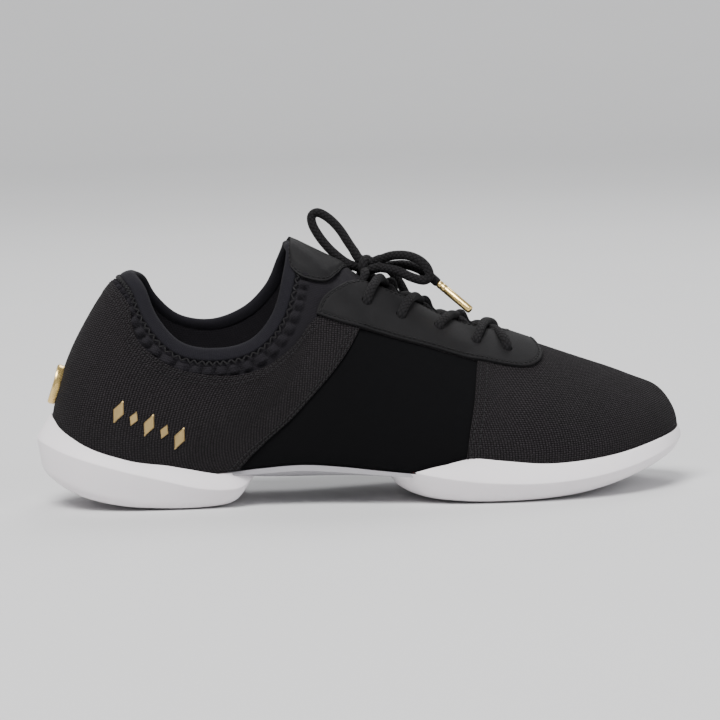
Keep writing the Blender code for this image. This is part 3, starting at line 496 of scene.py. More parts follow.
def addAglet(name, start, direction, node, s):
    half, length = s["thickness"] / 2, s["length"]
    along, wide = np.array(s["profile"]).T
    along = np.concatenate(([s["lipDepth"]], along * length)) + s["clearance"]
    wide = np.concatenate(([0.5], wide)) * half
    side = unit(np.cross(direction, (0.2, 0.3, 1.0)))
    angle = fullTurn(33)
    ring = side * np.cos(angle)[:, None] + np.cross(direction, side) * np.sin(angle)[:, None]
    places = start + direction * along[:, None, None] + ring * wide[:, None, None]
    cloth = clothGrid(angle * half, np.linspace(0, length, len(places))[:, None])
    return makePiece(name, [(places, cloth)], goldMetal, [node], sharp=40)


def addEnd(name, key, node, agletName, agletNode):
    route = knotMiddle + np.array(bow[key])
    direction = unit(route[-1] - route[-2])
    tip = addAglet(agletName, route[-1], direction, agletNode, aglet)
    inside = route[-1] + direction * aglet["length"] * np.array((0.35, 0.70, 0.97))[:, None]
    path = cordPath(np.concatenate((route, inside)))
    beyond = np.linalg.norm(path - route[0], axis=1) - np.linalg.norm(route[-1] - route[0])
    narrow = 1 - (1 - bow["squeezed"]) * np.clip((beyond + 0.0006) / 0.0016, 0, 1)  # inside its tip
    half = bow["thickness"] / 2
    addCord(name, path, half * narrow, node, far_end="fitting", with_pieces=[tip])


def addKnot():
    # the two ends cross under a wrap that goes once round them
    turn = fullTurn(49)[:, None]
    tilt, flat = np.array((0.45, 0.88, 0.10)), np.array((-0.12, -0.06, 1.0))
    wrap = tilt * np.cos(turn) * 0.0040 + flat * np.sin(turn) * 0.0032
    grids = [tubeGrid(knotMiddle + wrap, bow["knotStrand"])]
    for strand in bow["knotStrands"]:
        grids.append(cappedTube(cordPath(knotMiddle + np.array(strand), 10), bow["knotStrand"]))
    makePiece("bow_knot", grids, laceBraid, ["lace_knot"])


for name, key, node in (
    ("bow_loop_back", "loopBack", "lace_loop_back"),
    ("bow_loop_front", "loopFront", "lace_loop_front"),
):
    path = cordPath(knotMiddle + np.array(bow[key]))
    addCord(name, path, bow["thickness"] / 2, node, far_end="object")
addEnd("lace_end_outer", "endOut", "lace_end_out", "aglet_outer", "aglet_out")
addEnd("lace_end_inner", "endIn", "lace_end_in", "aglet_inner", "aglet_in")
addKnot()
print("bow tied")


# The last. One row for each section from the middle of the heel to the tip of the toe. x is a share of
# the length from the heel, out and in are shares of the width, foot z of the sole's height, the rest
# of the shoe's height

last = {
    "length": 0.2827,
    "width": 0.0970,
    "soleHeight": 0.0400,
    "height": 0.1130,
    "tongueRow": 10,
    "throatRows": (8, 14), "lacedRows": (8, 15), "heelRows": (0, 2.4),
    "probe": 0.04,
    "columns": (
        "footX", "footOut", "footIn", "footZ", "topX", "topOut", "topIn",
        "topZOut", "topZIn", "lean", "belly", "fullness",
    ),
    "rows": (
        (0.029, 0.020, 0.020, 0.390, 0.152, 0.020, 0.020, 0.906, 0.906, 0.000, 0.048, 1.50),
        (0.040, -0.120, 0.160, 0.388, 0.157, -0.062, 0.102, 0.898, 0.902, 0.000, 0.045, 1.50),
        (0.075, -0.228, 0.266, 0.385, 0.172, -0.142, 0.182, 0.846, 0.872, 0.000, 0.036, 1.48),
        (0.133, -0.288, 0.325, 0.380, 0.191, -0.208, 0.245, 0.734, 0.786, 0.000, 0.027, 1.45),
        (0.200, -0.300, 0.333, 0.378, 0.226, -0.250, 0.282, 0.637, 0.703, 0.000, 0.020, 1.40),
        (0.270, -0.305, 0.318, 0.385, 0.277, -0.262, 0.298, 0.612, 0.676, 0.000, 0.019, 1.40),
        (0.337, -0.312, 0.297, 0.425, 0.327, -0.255, 0.290, 0.640, 0.716, 0.015, 0.019, 1.50),
        (0.400, -0.330, 0.297, 0.452, 0.362, -0.232, 0.268, 0.735, 0.805, 0.045, 0.020, 1.65),
        (0.460, -0.360, 0.322, 0.425, 0.381, -0.190, 0.226, 0.880, 0.915, 0.090, 0.022, 1.80),
        (0.520, -0.398, 0.362, 0.378, 0.393, -0.100, 0.140, 0.985, 0.990, 0.140, 0.023, 1.90),
        (0.582, -0.428, 0.402, 0.335, 0.398, 0.020, 0.020, 1.000, 1.000, 0.190, 0.024, 1.95),
        (0.655, -0.447, 0.432, 0.310, 0.500, 0.020, 0.020, 0.866, 0.866, 0.168, 0.024, 1.90),
        (0.730, -0.447, 0.437, 0.300, 0.605, 0.024, 0.024, 0.706, 0.706, 0.120, 0.024, 1.90),
        (0.803, -0.408, 0.413, 0.310, 0.710, 0.030, 0.030, 0.617, 0.617, 0.095, 0.025, 1.95),
        (0.873, -0.328, 0.362, 0.345, 0.805, 0.036, 0.036, 0.530, 0.530, 0.068, 0.026, 2.00),
        (0.930, -0.212, 0.278, 0.400, 0.885, 0.044, 0.044, 0.458, 0.458, 0.052, 0.027, 2.00),
        (0.970, -0.080, 0.175, 0.450, 0.918, 0.053, 0.053, 0.423, 0.423, 0.044, 0.028, 2.10),
        (0.985, 0.060, 0.060, 0.475, 0.945, 0.060, 0.060, 0.392, 0.392, 0.015, 0.029, 2.25),
    ),
}
sections = dict(zip(last["columns"], zip(*last["rows"])))
tongueRow, toeRow = last["tongueRow"], len(last["rows"]) - 1
ringRows = 2 * toeRow
sides = outerSide, innerSide = -1, 1


def roundFoot(outKey, inKey):  # the outer side from heel to toe, then the inner side back
    return [*sections[outKey], *sections[inKey][1:-1][::-1]]


def roundCollar(outKey, inKey):
    return [*sections[inKey][1:tongueRow + 1][::-1], *sections[outKey][:tongueRow + 1]]


footRing = {"x": roundFoot("footX", "footX"), "y": roundFoot("footOut", "footIn")}
footRing["z"] = roundFoot("footZ", "footZ")
footRing.update({key: roundFoot(key, key) for key in ("lean", "belly", "fullness")})
topColumns = {"x": ("topX", "topX"), "y": ("topOut", "topIn"), "z": ("topZOut", "topZIn")}
collarEdge = {axis: roundCollar(*keys) for axis, keys in topColumns.items()}
ridge = {axis: sections[keys[0]][tongueRow:] for axis, keys in topColumns.items()}


def alongShoe(share):
    return (np.asarray(share) - 0.5) * last["length"]


def ridgeY(x):
    return np.interp(x, alongShoe(ridge["x"]), np.array(ridge["y"]) * last["width"])


def onRing(key, at):
    return smoothRun(footRing[key], at, True)


def footPoint(at):
    x, y, z = (onRing(axis, at) for axis in "xyz")
    return np.stack((alongShoe(x), y * last["width"], z * last["soleHeight"]), axis=-1)


def sectionRow(at):
    at = np.mod(at, ringRows)
    return np.where(at <= toeRow, at, ringRows - at), at <= toeRow


def topPoint(at):
    row, outer = sectionRow(at)
    past, place = row - tongueRow, tongueRow + np.where(outer, row, -row)
    x, y, z = (
        np.where(past >= 0, smoothRun(ridge[axis], past), smoothRun(collarEdge[axis], place))
        for axis in "xyz"
    )
    return np.stack((alongShoe(x), y * last["width"], z * last["height"]), axis=-1)


def outward(at):
    ahead = footPoint(at + last["probe"]) - footPoint(at - last["probe"])
    return unit(np.stack((ahead[..., 1], -ahead[..., 0], np.zeros_like(ahead[..., 0])), axis=-1))


def bareSurface(at, rise):  # rise is 0 at the footbed and 1 at the collar's edge or the ridge
    at, rise = np.broadcast_arrays(np.asarray(at, float), np.asarray(rise, float))
    over = rise > 1
    at, rise = np.where(over, ringRows - at, at), np.where(over, 2 - rise, rise)
    foot, top, power = footPoint(at), topPoint(at), 2 / onRing("fullness", at)
    up = np.clip(np.sin(rise * math.pi / 2), 0, None) ** power
    outside = np.clip(np.cos(rise * math.pi / 2), 0, None) ** power
    swell = onRing("belly", at) * last["width"] * np.sin(math.pi * up**0.65)
    point = foot * outside[..., None] + top * (1 - outside)[..., None]
    point = point + outward(at) * swell[..., None]
    leant = top[..., 2] - onRing("lean", at) * last["height"] * outside
    point[..., 2] = foot[..., 2] + (leant - foot[..., 2]) * up
    return point


def normalAt(at, rise):
    row, _ = sectionRow(at)
    probe = last["probe"]
    higher = np.where(row >= tongueRow, rise + probe, np.minimum(rise + probe, 1))
    forward = bareSurface(at + probe, rise) - bareSurface(at - probe, rise)
    upward = bareSurface(at, higher) - bareSurface(at, np.maximum(rise - probe, 0))
    return unit(np.cross(forward, upward))


def ringPlace(side, row, rise=0.0):
    row = np.asarray(row, float)
    return np.broadcast_arrays(row if side == outerSide else ringRows - row, np.asarray(rise, float))


def onLast(side, row, rise, out=0.0):
    at, rise = ringPlace(side, row, rise)
    point = bareSurface(at, rise)
    if np.any(out):
        point = point + normalAt(at, rise) * np.asarray(out)[..., None]
    return point


def normalOn(side, row, rise):
    return normalAt(*ringPlace(side, row, rise))


rowTable, riseTable = np.meshgrid(
    np.linspace(0, toeRow, 511), np.linspace(0, 1, 181), indexing="ij"
)
lookup = {side: onLast(side, rowTable, riseTable) for side in sides}
sideView, topView, backView = (0, 2), (0, 1), (1, 2)


def locate(side, targets, view=sideView, rows=(0, toeRow), step=0.004, limits=(0.06, 0.02)):
    # the row and rise of places that are given in one view, by the nearest point and a few corrections
    view, targets = list(view), np.asarray(targets, float)
    inside = (rowTable >= rows[0]) & (rowTable <= rows[1])
    table, known = lookup[side][inside][:, view], np.stack((rowTable[inside], riseTable[inside]))
    row, rise = known[:, [np.argmin(((table - target) ** 2).sum(axis=1)) for target in targets]]
    for _ in range(4):
        low, high = np.maximum(rise - step, 0), np.minimum(rise + step, 1)
        perRow = onLast(side, row + step, rise) - onLast(side, row - step, rise)
        perRise = onLast(side, row, high) - onLast(side, row, low)
        perRow, perRise = perRow[:, view] / (2 * step), perRise[:, view] / (high - low)[:, None]
        miss = targets - onLast(side, row, rise)[:, view]
        a, b, c = (perRow**2).sum(1) + 1e-9, (perRow * perRise).sum(1), (perRise**2).sum(1) + 1e-9
        p, q = (perRow * miss).sum(1), (perRise * miss).sum(1)
        whole = a * c - b * b
        row = row + np.clip((c * p - b * q) / whole, -limits[0], limits[0])
        rise = np.clip(rise + np.clip((a * q - b * p) / whole, -limits[1], limits[1]), 0, 1)
    return np.stack((np.clip(row, 0, toeRow), rise), axis=1)


def fromSide(shares):  # places in the side view, from shares of the length and of the height
    return [(alongShoe(x), z * last["height"]) for x, z in shares]


def fromTop(side, shares):  # places from above: share of the length, of the width beside the ridge
    return [(alongShoe(x), ridgeY(alongShoe(x)) + side * away * last["width"]) for x, away in shares]


def sideLine(side, shares, start=None, end=None):  # a line on the shoe, drawn in the side view
    places = fromSide(shares)
    ends = [(k, given) for k, given in ((0, start), (-1, end)) if given is not None]
    for k, given in ends:
        places.insert(0 if k == 0 else len(places), onLast(side, *given)[[0, 2]])
    line = locate(side, smoothPath(places, 8))
    for k, given in ends:
        line[k] = given
    return line


def lineOnLast(side, line, out=0.0):
    return onLast(side, line[:, 0], line[:, 1], out)


def lineAt(side, line, shares):
    length = runningLength(lineOnLast(side, line))
    places = np.asarray(shares) * length[-1]
    return np.stack([np.interp(places, length, line[:, k]) for k in range(2)], axis=1)


def straight(first, final):
    return np.linspace(first, final, 60)


# Panels of the upper: four edges, filled with a grid that runs along them

hemSteps = np.array((
    0, 0.12, 0.35, 0.7, 1.1, 1.5, 1.9, 2.3, 2.8, 3.3, 3.8, 4.3, 4.8, 5.4, 6.0, 6.8, 7.8,
)) / 1000


def placesAlong(length, step, fineStart, fineEnd):
    places = np.linspace(0, 1, max(3, round(length / step) + 1))
    fine = hemSteps[hemSteps < length * 0.45] / length
    if fineStart:
        places = np.concatenate((fine, places[places > fine[-1] * 1.08]))
    if fineEnd:
        places = np.concatenate((places[places < 1 - fine[-1] * 1.08], 1 - fine[::-1]))
    return places


def panel(side, bottom, top, left, right, cut, step=0.0013, fine=None, tall=None):
    fine = fine or cut
    wide = max(runningLength(lineOnLast(side, line))[-1] for line in (bottom, top))
    tall = tall or max(runningLength(lineOnLast(side, line))[-1] for line in (left, right))
    s = placesAlong(wide, step, "left" in fine, "right" in fine)
    t = placesAlong(tall, step, "bottom" in fine, "top" in fine)
    low, high = lineAt(side, bottom, s), lineAt(side, top, s)
    first, final = lineAt(side, left, t)[:, None], lineAt(side, right, t)[:, None]
    s, t = s[None, :, None], t[:, None, None]
    flat = low * (1 - t) + high * t + first * (1 - s) + final * s
    flat = flat - (low[0] * (1 - s) + low[-1] * s) * (1 - t) - (high[0] * (1 - s) + high[-1] * s) * t
    row, rise = flat[..., 0], np.clip(flat[..., 1], 0, 1)
    points = onLast(side, row, rise)
    right, up = runningLength(points, 1), runningLength(points, 0)
    edges = {"left": right, "right": right[:, -1:] - right, "bottom": up, "top": up[-1:] - up}
    return {"side": side, "row": row, "rise": rise, "points": points, "edge": edges, "cut": cut}


def nearestEdge(p, names):
    return np.min([p["edge"][name] for name in names], axis=0)


def softStep(value, low, high):
    part = np.clip((value - low) / (high - low), 0, 1)
    return part * part * (3 - 2 * part)


def band(value, low, full, fading, high):
    return softStep(value, low, full) * (1 - softStep(value, fading, high))


def dip(near, middle, wide=0.0005):  # a soft groove
    return np.exp(-(((near - middle) / wide) ** 2))


def roundedDrop(near, radius):  # how far a rounded edge falls at a distance from it
    corner = radius - np.minimum(near, radius)
    return radius - np.sqrt(np.maximum(radius**2 - corner**2, 0))


waves = ((1.0, 0.6, 1.3), (-0.7, 1.1, 0.9), (1.6, -0.5, 0.7), (0.4, 1.5, -1.2))


def ripple(points, size, height):  # slow unevenness of hand-lasted cloth, the same each run
    total = 0
    for k, wave in enumerate(waves):
        total = total + np.sin(points @ np.array(wave) * 2 * math.pi / size + 1.7 * k) / 4
    return total * height


edgeOf = {
    "left": (slice(None), 0), "right": (slice(None), -1),
    "bottom": (0, slice(None)), "top": (-1, slice(None)),
}


def shellGrids(p, out, wall, relief=0.0, rounding=0.0005, origin="left"):
    drop = roundedDrop(nearestEdge(p, p["cut"]), rounding)
    outer = onLast(p["side"], p["row"], p["rise"], out + relief - drop)
    inner = onLast(p["side"], p["row"], p["rise"], np.full(p["row"].shape, out - wall))
    across = p["edge"][origin] * p["side"] * (1 if origin == "left" else -1)
    cloth = np.stack((across, p["edge"]["bottom"]), axis=-1)
    grids = [(outer, cloth), (inner, cloth)]
    for take in (edgeOf[name] for name in p["cut"]):
        grids.append((
            np.stack((outer[take], inner[take])), np.stack((cloth[take], cloth[take] + wall))
        ))
    return grids


def insetLine(p, name, distance, keep):  # the line at a distance from one edge of a panel
    found, parts = [], (p["edge"][name], p["row"], p["rise"])
    if name in ("bottom", "top"):
        parts = [part.T for part in parts]
    for away, rows, rises in zip(*parts):
        order = 1 if away[0] < away[-1] else -1
        found.append([np.interp(distance, away[::order], part[::order]) for part in (rows, rises)])
    start, end = (round(share * (len(found) - 1)) for share in keep)
    return np.array(found)[start:end + 1]


stitching = {
    "pitch": 0.0022, "share": 0.76, "thick": 0.00050, "bite": 0.35,
    # along a stitch: share of its length and width, and its lift, with both ends down in the cloth
    "bar": (
        (0.0, 0.0, -1.0), (0.0, 0.55, -0.8), (0.12, 0.86, 0.15), (0.32, 1.0, 0.55),
        (0.68, 1.0, 0.55), (0.88, 0.86, 0.15), (1.0, 0.55, -0.8), (1.0, 0.0, -1.0),
    ),
}


def stitchGrids(points, normals, s=stitching):
    length = runningLength(points)
    count = max(1, int(length[-1] / s["pitch"]))
    starts = (np.arange(count) + 0.5 - s["share"] / 2) * length[-1] / count
    ends = starts + s["share"] * length[-1] / count

    def pick(values, places):
        return np.stack([np.interp(places, length, values[:, k]) for k in range(3)], axis=1)

    first, final = pick(points, starts), pick(points, ends)
    normal = unit(pick(normals, (starts + ends) / 2))
    side = unit(np.cross(final - first, normal))[:, None, None]
    share, wide, lift = np.array(s["bar"]).T[..., None]
    middle = first[:, None] + (final - first)[:, None] * share
    middle = middle + normal[:, None] * lift * s["thick"] * s["bite"]
    angle = fullTurn(8)[:, None]
    ring = side * np.cos(angle) + normal[:, None, None] * np.sin(angle)
    bars = middle[:, :, None] + ring * wide[..., None] * s["thick"] / 2
    cloth = clothGrid(angle[:, 0] * s["thick"] / 2, share * s["pitch"])
    return [(bar, cloth) for bar in bars]


def sewEdge(p, name, distance, keep, out):
    line = insetLine(p, name, distance, keep)
    return stitchGrids(lineOnLast(p["side"], line, out), normalOn(p["side"], *line.T))


def addStitches(name, grids, finish):
    makePiece(name, grids, finish, weld=1e-6)


# Seams of the upper in the side view: share of the length from the heel, share of the height

seams = {
    "canvasTop": {
        outerSide: (
            (0.1485, 0.775), (0.151, 0.715), (0.157, 0.655), (0.172, 0.610), (0.195, 0.566),
            (0.220, 0.534), (0.252, 0.514), (0.285, 0.505), (0.318, 0.509), (0.350, 0.534),
            (0.378, 0.578), (0.402, 0.635), (0.418, 0.690), (0.436, 0.722), (0.466, 0.738),
        ),
        innerSide: (
            (0.151, 0.790), (0.156, 0.745), (0.166, 0.695), (0.182, 0.652), (0.202, 0.615),
            (0.226, 0.588), (0.254, 0.571), (0.285, 0.563), (0.318, 0.570), (0.350, 0.596),
            (0.378, 0.635), (0.402, 0.678), (0.420, 0.716), (0.440, 0.738), (0.466, 0.748),
        ),
    },
    "canvasTopHeel": 0.857,
    "quarterFront": (
        (0.306, 0.150), (0.315, 0.173), (0.3245, 0.199), (0.350, 0.258), (0.385, 0.333),
        (0.417, 0.417), (0.453, 0.518), (0.478, 0.603), (0.496, 0.681), (0.503, 0.715),
    ),
    "vampBack": (
        (0.642, 0.125), (0.646, 0.181), (0.6525, 0.280), (0.660, 0.366), (0.669, 0.488),
        (0.674, 0.540), (0.677, 0.575),
    ),
    "eyestayLower": (
        (0.429, 0.726), (0.460, 0.697), (0.500, 0.666), (0.550, 0.624), (0.600, 0.585),
        (0.650, 0.542), (0.695, 0.512), (0.730, 0.493), (0.750, 0.489), (0.763, 0.495),
        (0.7735, 0.511), (0.7765, 0.533),
    ),
    "eyestayBack": (
        (0.499, 0.828), (0.485, 0.831), (0.468, 0.824), (0.452, 0.807), (0.440, 0.784),
        (0.4325, 0.752),
    ),
    "throat": (
        (0.510, 0.168), (0.535, 0.143), (0.560, 0.125), (0.610, 0.102), (0.655, 0.088),
        (0.695, 0.076), (0.712, 0.060), (0.7215, 0.036),
    ),
    "throatFront": 0.7255,
    "eyestayFront": 0.7700,
}


def throatHalf(x):
    places, halves = np.array(seams["throat"] + ((seams["throatFront"], 0.0),)).T
    return np.interp(x, alongShoe(places), halves) * last["width"]


def footPlace(side, share):  # the row where the footbed's edge is at a share of the length
    rows = np.linspace(0, toeRow, 900)
    return np.interp(alongShoe(share), onLast(side, rows, 0.0)[:, 0], rows)


def ridgePlace(share):
    rows = np.linspace(tongueRow, toeRow, 900)
    return np.interp(alongShoe(share), topPoint(rows)[:, 0], rows), 1.0


def heelPlace(share):
    rises = np.linspace(0, 1, 400)
    return 0.0, np.interp(share * last["height"], onLast(outerSide, 0.0, rises)[:, 2], rises)


def drawSeams(side):
    quarterFront, vampBack = sideLine(side, seams["quarterFront"]), sideLine(side, seams["vampBack"])
    quarterFront[0, 1] = vampBack[0, 1] = 0.0
    heel, canvasTop = heelPlace(seams["canvasTopHeel"]), seams["canvasTop"][side]
    lower = sideLine(side, seams["eyestayLower"], end=ridgePlace(seams["eyestayFront"]))
    throat = locate(side, fromTop(side, seams["throat"]), topView, last["throatRows"])
    throat = smoothPath(np.concatenate((throat, [ridgePlace(seams["throatFront"])])), 10)
    return {
        "quarterFront": quarterFront, "vampBack": vampBack, "eyestayLower": lower, "throat": throat,
        "canvasTop": sideLine(side, canvasTop, start=heel, end=quarterFront[-1]),
        "eyestayBack": sideLine(side, seams["eyestayBack"], start=throat[0], end=lower[0]),
    }


lines = {side: drawSeams(side) for side in sides}
print("seams drawn")


# Canvas: the heel quarter from one diagonal seam round to the other, and the vamp before the middle

canvasCut = {
    "wall": 0.0018, "hemHeight": 0.00030, "hemEnd": (0.0060, 0.0074), "rows": (0.0016, 0.0046),
    "groove": 0.00022, "grooveWidth": 0.00055, "threadUp": 0.000168,
    "vampUnder": ((0.695, 0.560), (0.722, 0.553), (0.742, 0.565)), "vampRidge": 0.752,
}


def quarterPanel(side, seam):
    front, top = seam["quarterFront"], seam["canvasTop"]
    bottom = straight((0.0, 0.0), (front[0, 0], 0.0))
    return panel(side, bottom, top, straight((0.0, 0.0), top[0]), front, ("right", "top", "bottom"))


def vampPanel(side, seam, s=canvasCut):
    back, under = seam["vampBack"], locate(side, fromSide(s["vampUnder"]))
    onRidge = np.linspace(ridgePlace(s["vampRidge"]), (toeRow, 1.0), 12)
    top = smoothPath(np.concatenate((back[-1:], under, onRidge[:1])), 10)
    bottom, toe = straight((back[0, 0], 0.0), (toeRow, 0.0)), straight((toeRow, 0.0), (toeRow, 1.0))
    return panel(side, bottom, np.concatenate((top, onRidge[1:])), back, toe, ("left", "bottom"))


def addCanvas(name, sidePanel, hems, uneven, origin, s):
    grids, sewn = [], []
    for side in sides:
        p = sidePanel(side, lines[side])
        near = nearestEdge(p, hems)
        relief = s["hemHeight"] * (1 - softStep(near, *s["hemEnd"])) + ripple(p["points"], *uneven)
        for row in s["rows"]:
            relief = relief - s["groove"] * dip(near, row, s["grooveWidth"])
            for hem, keep in hems.items():
                sewn += sewEdge(p, hem, row, keep, s["threadUp"])
        grids += shellGrids(p, 0.0, s["wall"], relief, origin=origin)
    makePiece(name + "_canvas", grids, canvas, ["upper"])
    addStitches(name + "_stitches", sewn, thread)


# Smooth middle panels, one a side, whose edges run on below the canvas and the eyestay

middlePanel = {
    "wall": 0.0011, "below": 0.0007, "overlap": 0.012, "backTop": (0.492, 0.735),
    "top": ((0.550, 0.668), (0.600, 0.622), (0.650, 0.584)), "uneven": (0.07, 0.00020),
}


def addMiddlePanel(side, name, s):
    back = [(x - s["overlap"], z) for x, z in seams["quarterFront"][:-1]]
    back = sideLine(side, [*back, s["backTop"]])
    front = sideLine(side, [(x + s["overlap"], z) for x, z in seams["vampBack"]])
    back[0, 1] = front[0, 1] = 0.0
    top = sideLine(side, s["top"], start=back[-1], end=front[-1])
    p = panel(side, straight(back[0], front[0]), top, back, front, ("bottom",), step=0.0016)
    grids = shellGrids(p, -s["below"], s["wall"], ripple(p["points"], *s["uneven"]))
    makePiece(name, grids, smoothPanel, ["upper"])


quarterHems = {"right": (0.03, 0.93), "top": (0.0, 0.80)}
addCanvas("quarter", quarterPanel, quarterHems, (0.050, 0.00022), "left", canvasCut)
addCanvas("vamp", vampPanel, {"left": (0.03, 0.93)}, (0.060, 0.00018), "right", canvasCut)
addMiddlePanel(outerSide, "side_panel_outer", middlePanel)
addMiddlePanel(innerSide, "side_panel_inner", middlePanel)
print("canvas sewn")


# Eyestay: a leather overlay round the throat with five punched eyelets a side, and its facing below

eyestay = {
    "out": 0.0017, "wall": 0.0014, "facingOut": 0.0002, "facingWall": 0.0019, "inset": 0.0016,
    "groove": 0.00018, "settle": 0.0006, "settled": (0.485, 0.515, 0.655, 0.680),
    "settleFrom": (0.001, 0.010), "uneven": (0.04, 0.00012),
    "rows": {"bottom": (0.015, 1.0), "top": (0.015, 1.0), "left": (0.08, 0.93)},
    "hole": 0.0046, "punchLength": 0.012, "eyelets": (
        (0.505, 0.250), (0.557, 0.250), (0.614, 0.218), (0.672, 0.202), (0.720, 0.197),
    ),
}


def cutBy(piece, cutter):
    step = piece.modifiers.new("cut", "BOOLEAN")
    step.object, step.operation, step.solver = cutter, "DIFFERENCE", "EXACT"
    graph = bpy.context.evaluated_depsgraph_get()
    graph.update()
    mesh = bpy.data.meshes.new_from_object(piece.evaluated_get(graph))
    piece.modifiers.clear()
    piece.data = mesh


def eyeletPunch(s):  # one cutter for all the eyelets
    shape = bmesh.new()
    for side in sides:
        for row, rise in locate(side, fromTop(side, s["eyelets"]), topView, last["throatRows"]):
            made = bmesh.ops.create_cone(
                shape, cap_ends=True, segments=28, depth=s["punchLength"],
                radius1=s["hole"] / 2, radius2=s["hole"] / 2,
            )["verts"]
            turn = Vector(normalOn(side, row, rise)).to_track_quat("Z", "Y").to_matrix().to_4x4()
            bmesh.ops.transform(shape, matrix=turn, verts=made)
            bmesh.ops.translate(shape, verts=made, vec=Vector(onLast(side, row, rise)))
    mesh = bpy.data.meshes.new("eyeletPunch")
    shape.to_mesh(mesh)
    shape.free()
    return addObject("eyeletPunch", mesh)


def addEyestay(s):
    grids, facing, sewn = [], [], []
    for side in sides:
        seam = lines[side]
        front = straight(seam["throat"][-1], seam["eyestayLower"][-1])
        cut = ("bottom", "top", "left")
        p = panel(
            side, seam["throat"], seam["eyestayLower"], seam["eyestayBack"], front, cut, step=0.0012,
        )
        low = band(p["points"][..., 0] / last["length"] + 0.5, *s["settled"])
        low = low * (1 - softStep(p["edge"]["top"], *s["settleFrom"]))  # onto the middle panel
        relief = ripple(p["points"], *s["uneven"]) - s["settle"] * low
        relief = relief - s["groove"] * dip(nearestEdge(p, cut), s["inset"])
        grids += shellGrids(p, s["out"], s["wall"], relief, 0.0006)
        facing += shellGrids(p, s["facingOut"], s["facingWall"], 0.0, 0.0004)
        for name, keep in s["rows"].items():
            sewn += sewEdge(p, name, s["inset"], keep, s["out"] - 0.0001)
    punch = eyeletPunch(s)
    cutBy(makePiece("eyestay_leather", grids, leather, ["eyestay"], sharp=40), punch)
    cutBy(makePiece("eyestay_facing", facing, canvas, ["upper"], sharp=40), punch)
    bpy.data.objects.remove(punch)
    addStitches("eyestay_stitches", sewn, waxedThread)


addEyestay(eyestay)
print("eyestay punched")


# Sock: the knitted collar and tongue in one, with a rolled jersey binding round its rim

sock = {
    "out": -0.0021, "wall": 0.0028, "bottomRise": 0.40, "frontRow": 14.6, "tall": 0.060,
    "bumps": (0.0078, 0.0090, 0.0112, 0.0128), "bumpPitch": 0.0043, "bumpHeight": 0.0026,
    "bumpSink": 0.0004, "furrow": (0.0043, 0.0055, 0.0070, 0.0080), "furrowDepth": 0.0002,
    "zigzag": (0.0055, 0.0074), "zigzagPitch": 0.0024, "zigzagThick": 0.00065,
    "tabFrom": (-0.0345, 0.104),
    "valley": (0.505, 0.535, 0.690, 0.715), "valleyDepth": 0.0020,
    "puff": (0.462, 0.482, 0.482, 0.505), "puffHeight": 0.0012, "uneven": (0.03, 0.00015),
}
binding = {
    "section": (
        (-2.7, 5.6), (-1.95, 5.2), (-1.55, 4.5), (-1.35, 3.5), (-1.28, 2.5), (-1.35, 1.5),
        (-1.62, 0.6), (-2.15, -0.2), (-2.8, -0.7), (-3.5, -0.88), (-4.2, -0.7), (-4.85, -0.2),
        (-5.30, 0.6), (-5.5, 1.6), (-5.5, 2.8), (-5.3, 4.0), (-4.7, 4.6),
    ),
}


def evenRound(values, reach):
    kernel = np.hanning(2 * reach + 1)
    wrapped = np.concatenate((values[-reach:], values, values[:reach]))
    return np.stack([np.convolve(part, kernel / kernel.sum(), "valid") for part in wrapped.T], axis=1)


def rimFrames(half=360):
    # the collar's rim as a closed loop, with its outward and downward directions evened out
    at = np.concatenate([
        np.linspace(start, start + tongueRow, half, endpoint=False)
        for start in (ringRows - tongueRow, 0)
    ])
    rim = bareSurface(at, 1.0)
    ahead = unit(evenRound(np.roll(rim, -1, axis=0) - np.roll(rim, 1, axis=0), 6))
    normal = evenRound(normalAt(at, np.full(at.shape, 0.985)), 14)
    normal = unit(normal - ahead * (normal * ahead).sum(1)[:, None])
    down = np.cross(normal, ahead)
    return rim, normal, down * np.where(down[:, 2] > 0, -1, 1)[:, None]


rimPoints, rimNormals, rimDown = rimFrames()


def fromRim(points):  # distance to the rim, and how far round the rim the nearest place is
    flat, reach = points.reshape(-1, 3), runningLength(rimPoints)
    distance, place = np.empty(len(flat)), np.empty(len(flat))
    for start in range(0, len(flat), 4000):
        part = slice(start, start + 4000)
        gaps = ((flat[part, None] - rimPoints) ** 2).sum(axis=2)
        distance[part], place[part] = np.sqrt(gaps.min(axis=1)), reach[gaps.argmin(axis=1)]
    return distance.reshape(points.shape[:-1]), place.reshape(points.shape[:-1])


def tongueRelief(p, s):
    # the tongue swells below its tab and sinks under the laces, between the edges of the eyestay
    x, y, _ = np.moveaxis(p["points"], -1, 0)
    share, half = x / last["length"] + 0.5, throatHalf(x)
    near = 1 - softStep(np.abs(y - ridgeY(x)), half * 0.45, half * 1.1 + 0.001)
    raised = s["puffHeight"] * band(share, *s["puff"]) - s["valleyDepth"] * band(share, *s["valley"])
    return near * (p["row"] > tongueRow - 0.5) * raised


def addSock(s):
    grids, low, front = [], s["bottomRise"], s["frontRow"]
    for side in sides:
        for first, final, end in ((0.0, tongueRow, "top"), (tongueRow, front, "right")):
            p = panel(
                side, straight((first, low), (final, low)), straight((first, 1.0), (final, 1.0)),
                straight((first, low), (first, 1.0)), straight((final, low), (final, 1.0)),
                ("bottom", end), step=0.0010, fine=("top",), tall=s["tall"],
            )
            away, place = fromRim(p["points"])
            wave = 0.5 + 0.5 * np.cos(place * 2 * math.pi / s["bumpPitch"])
            relief = band(away, *s["bumps"]) * (s["bumpHeight"] * wave**0.6 - s["bumpSink"])
            relief = relief - s["furrowDepth"] * band(away, *s["furrow"])
            relief = relief + tongueRelief(p, s) + ripple(p["points"], *s["uneven"])
            grids += shellGrids(p, s["out"], s["wall"], relief, 0.0001)
    makePiece("collar_sock", grids, knit, ["knit_sock"])


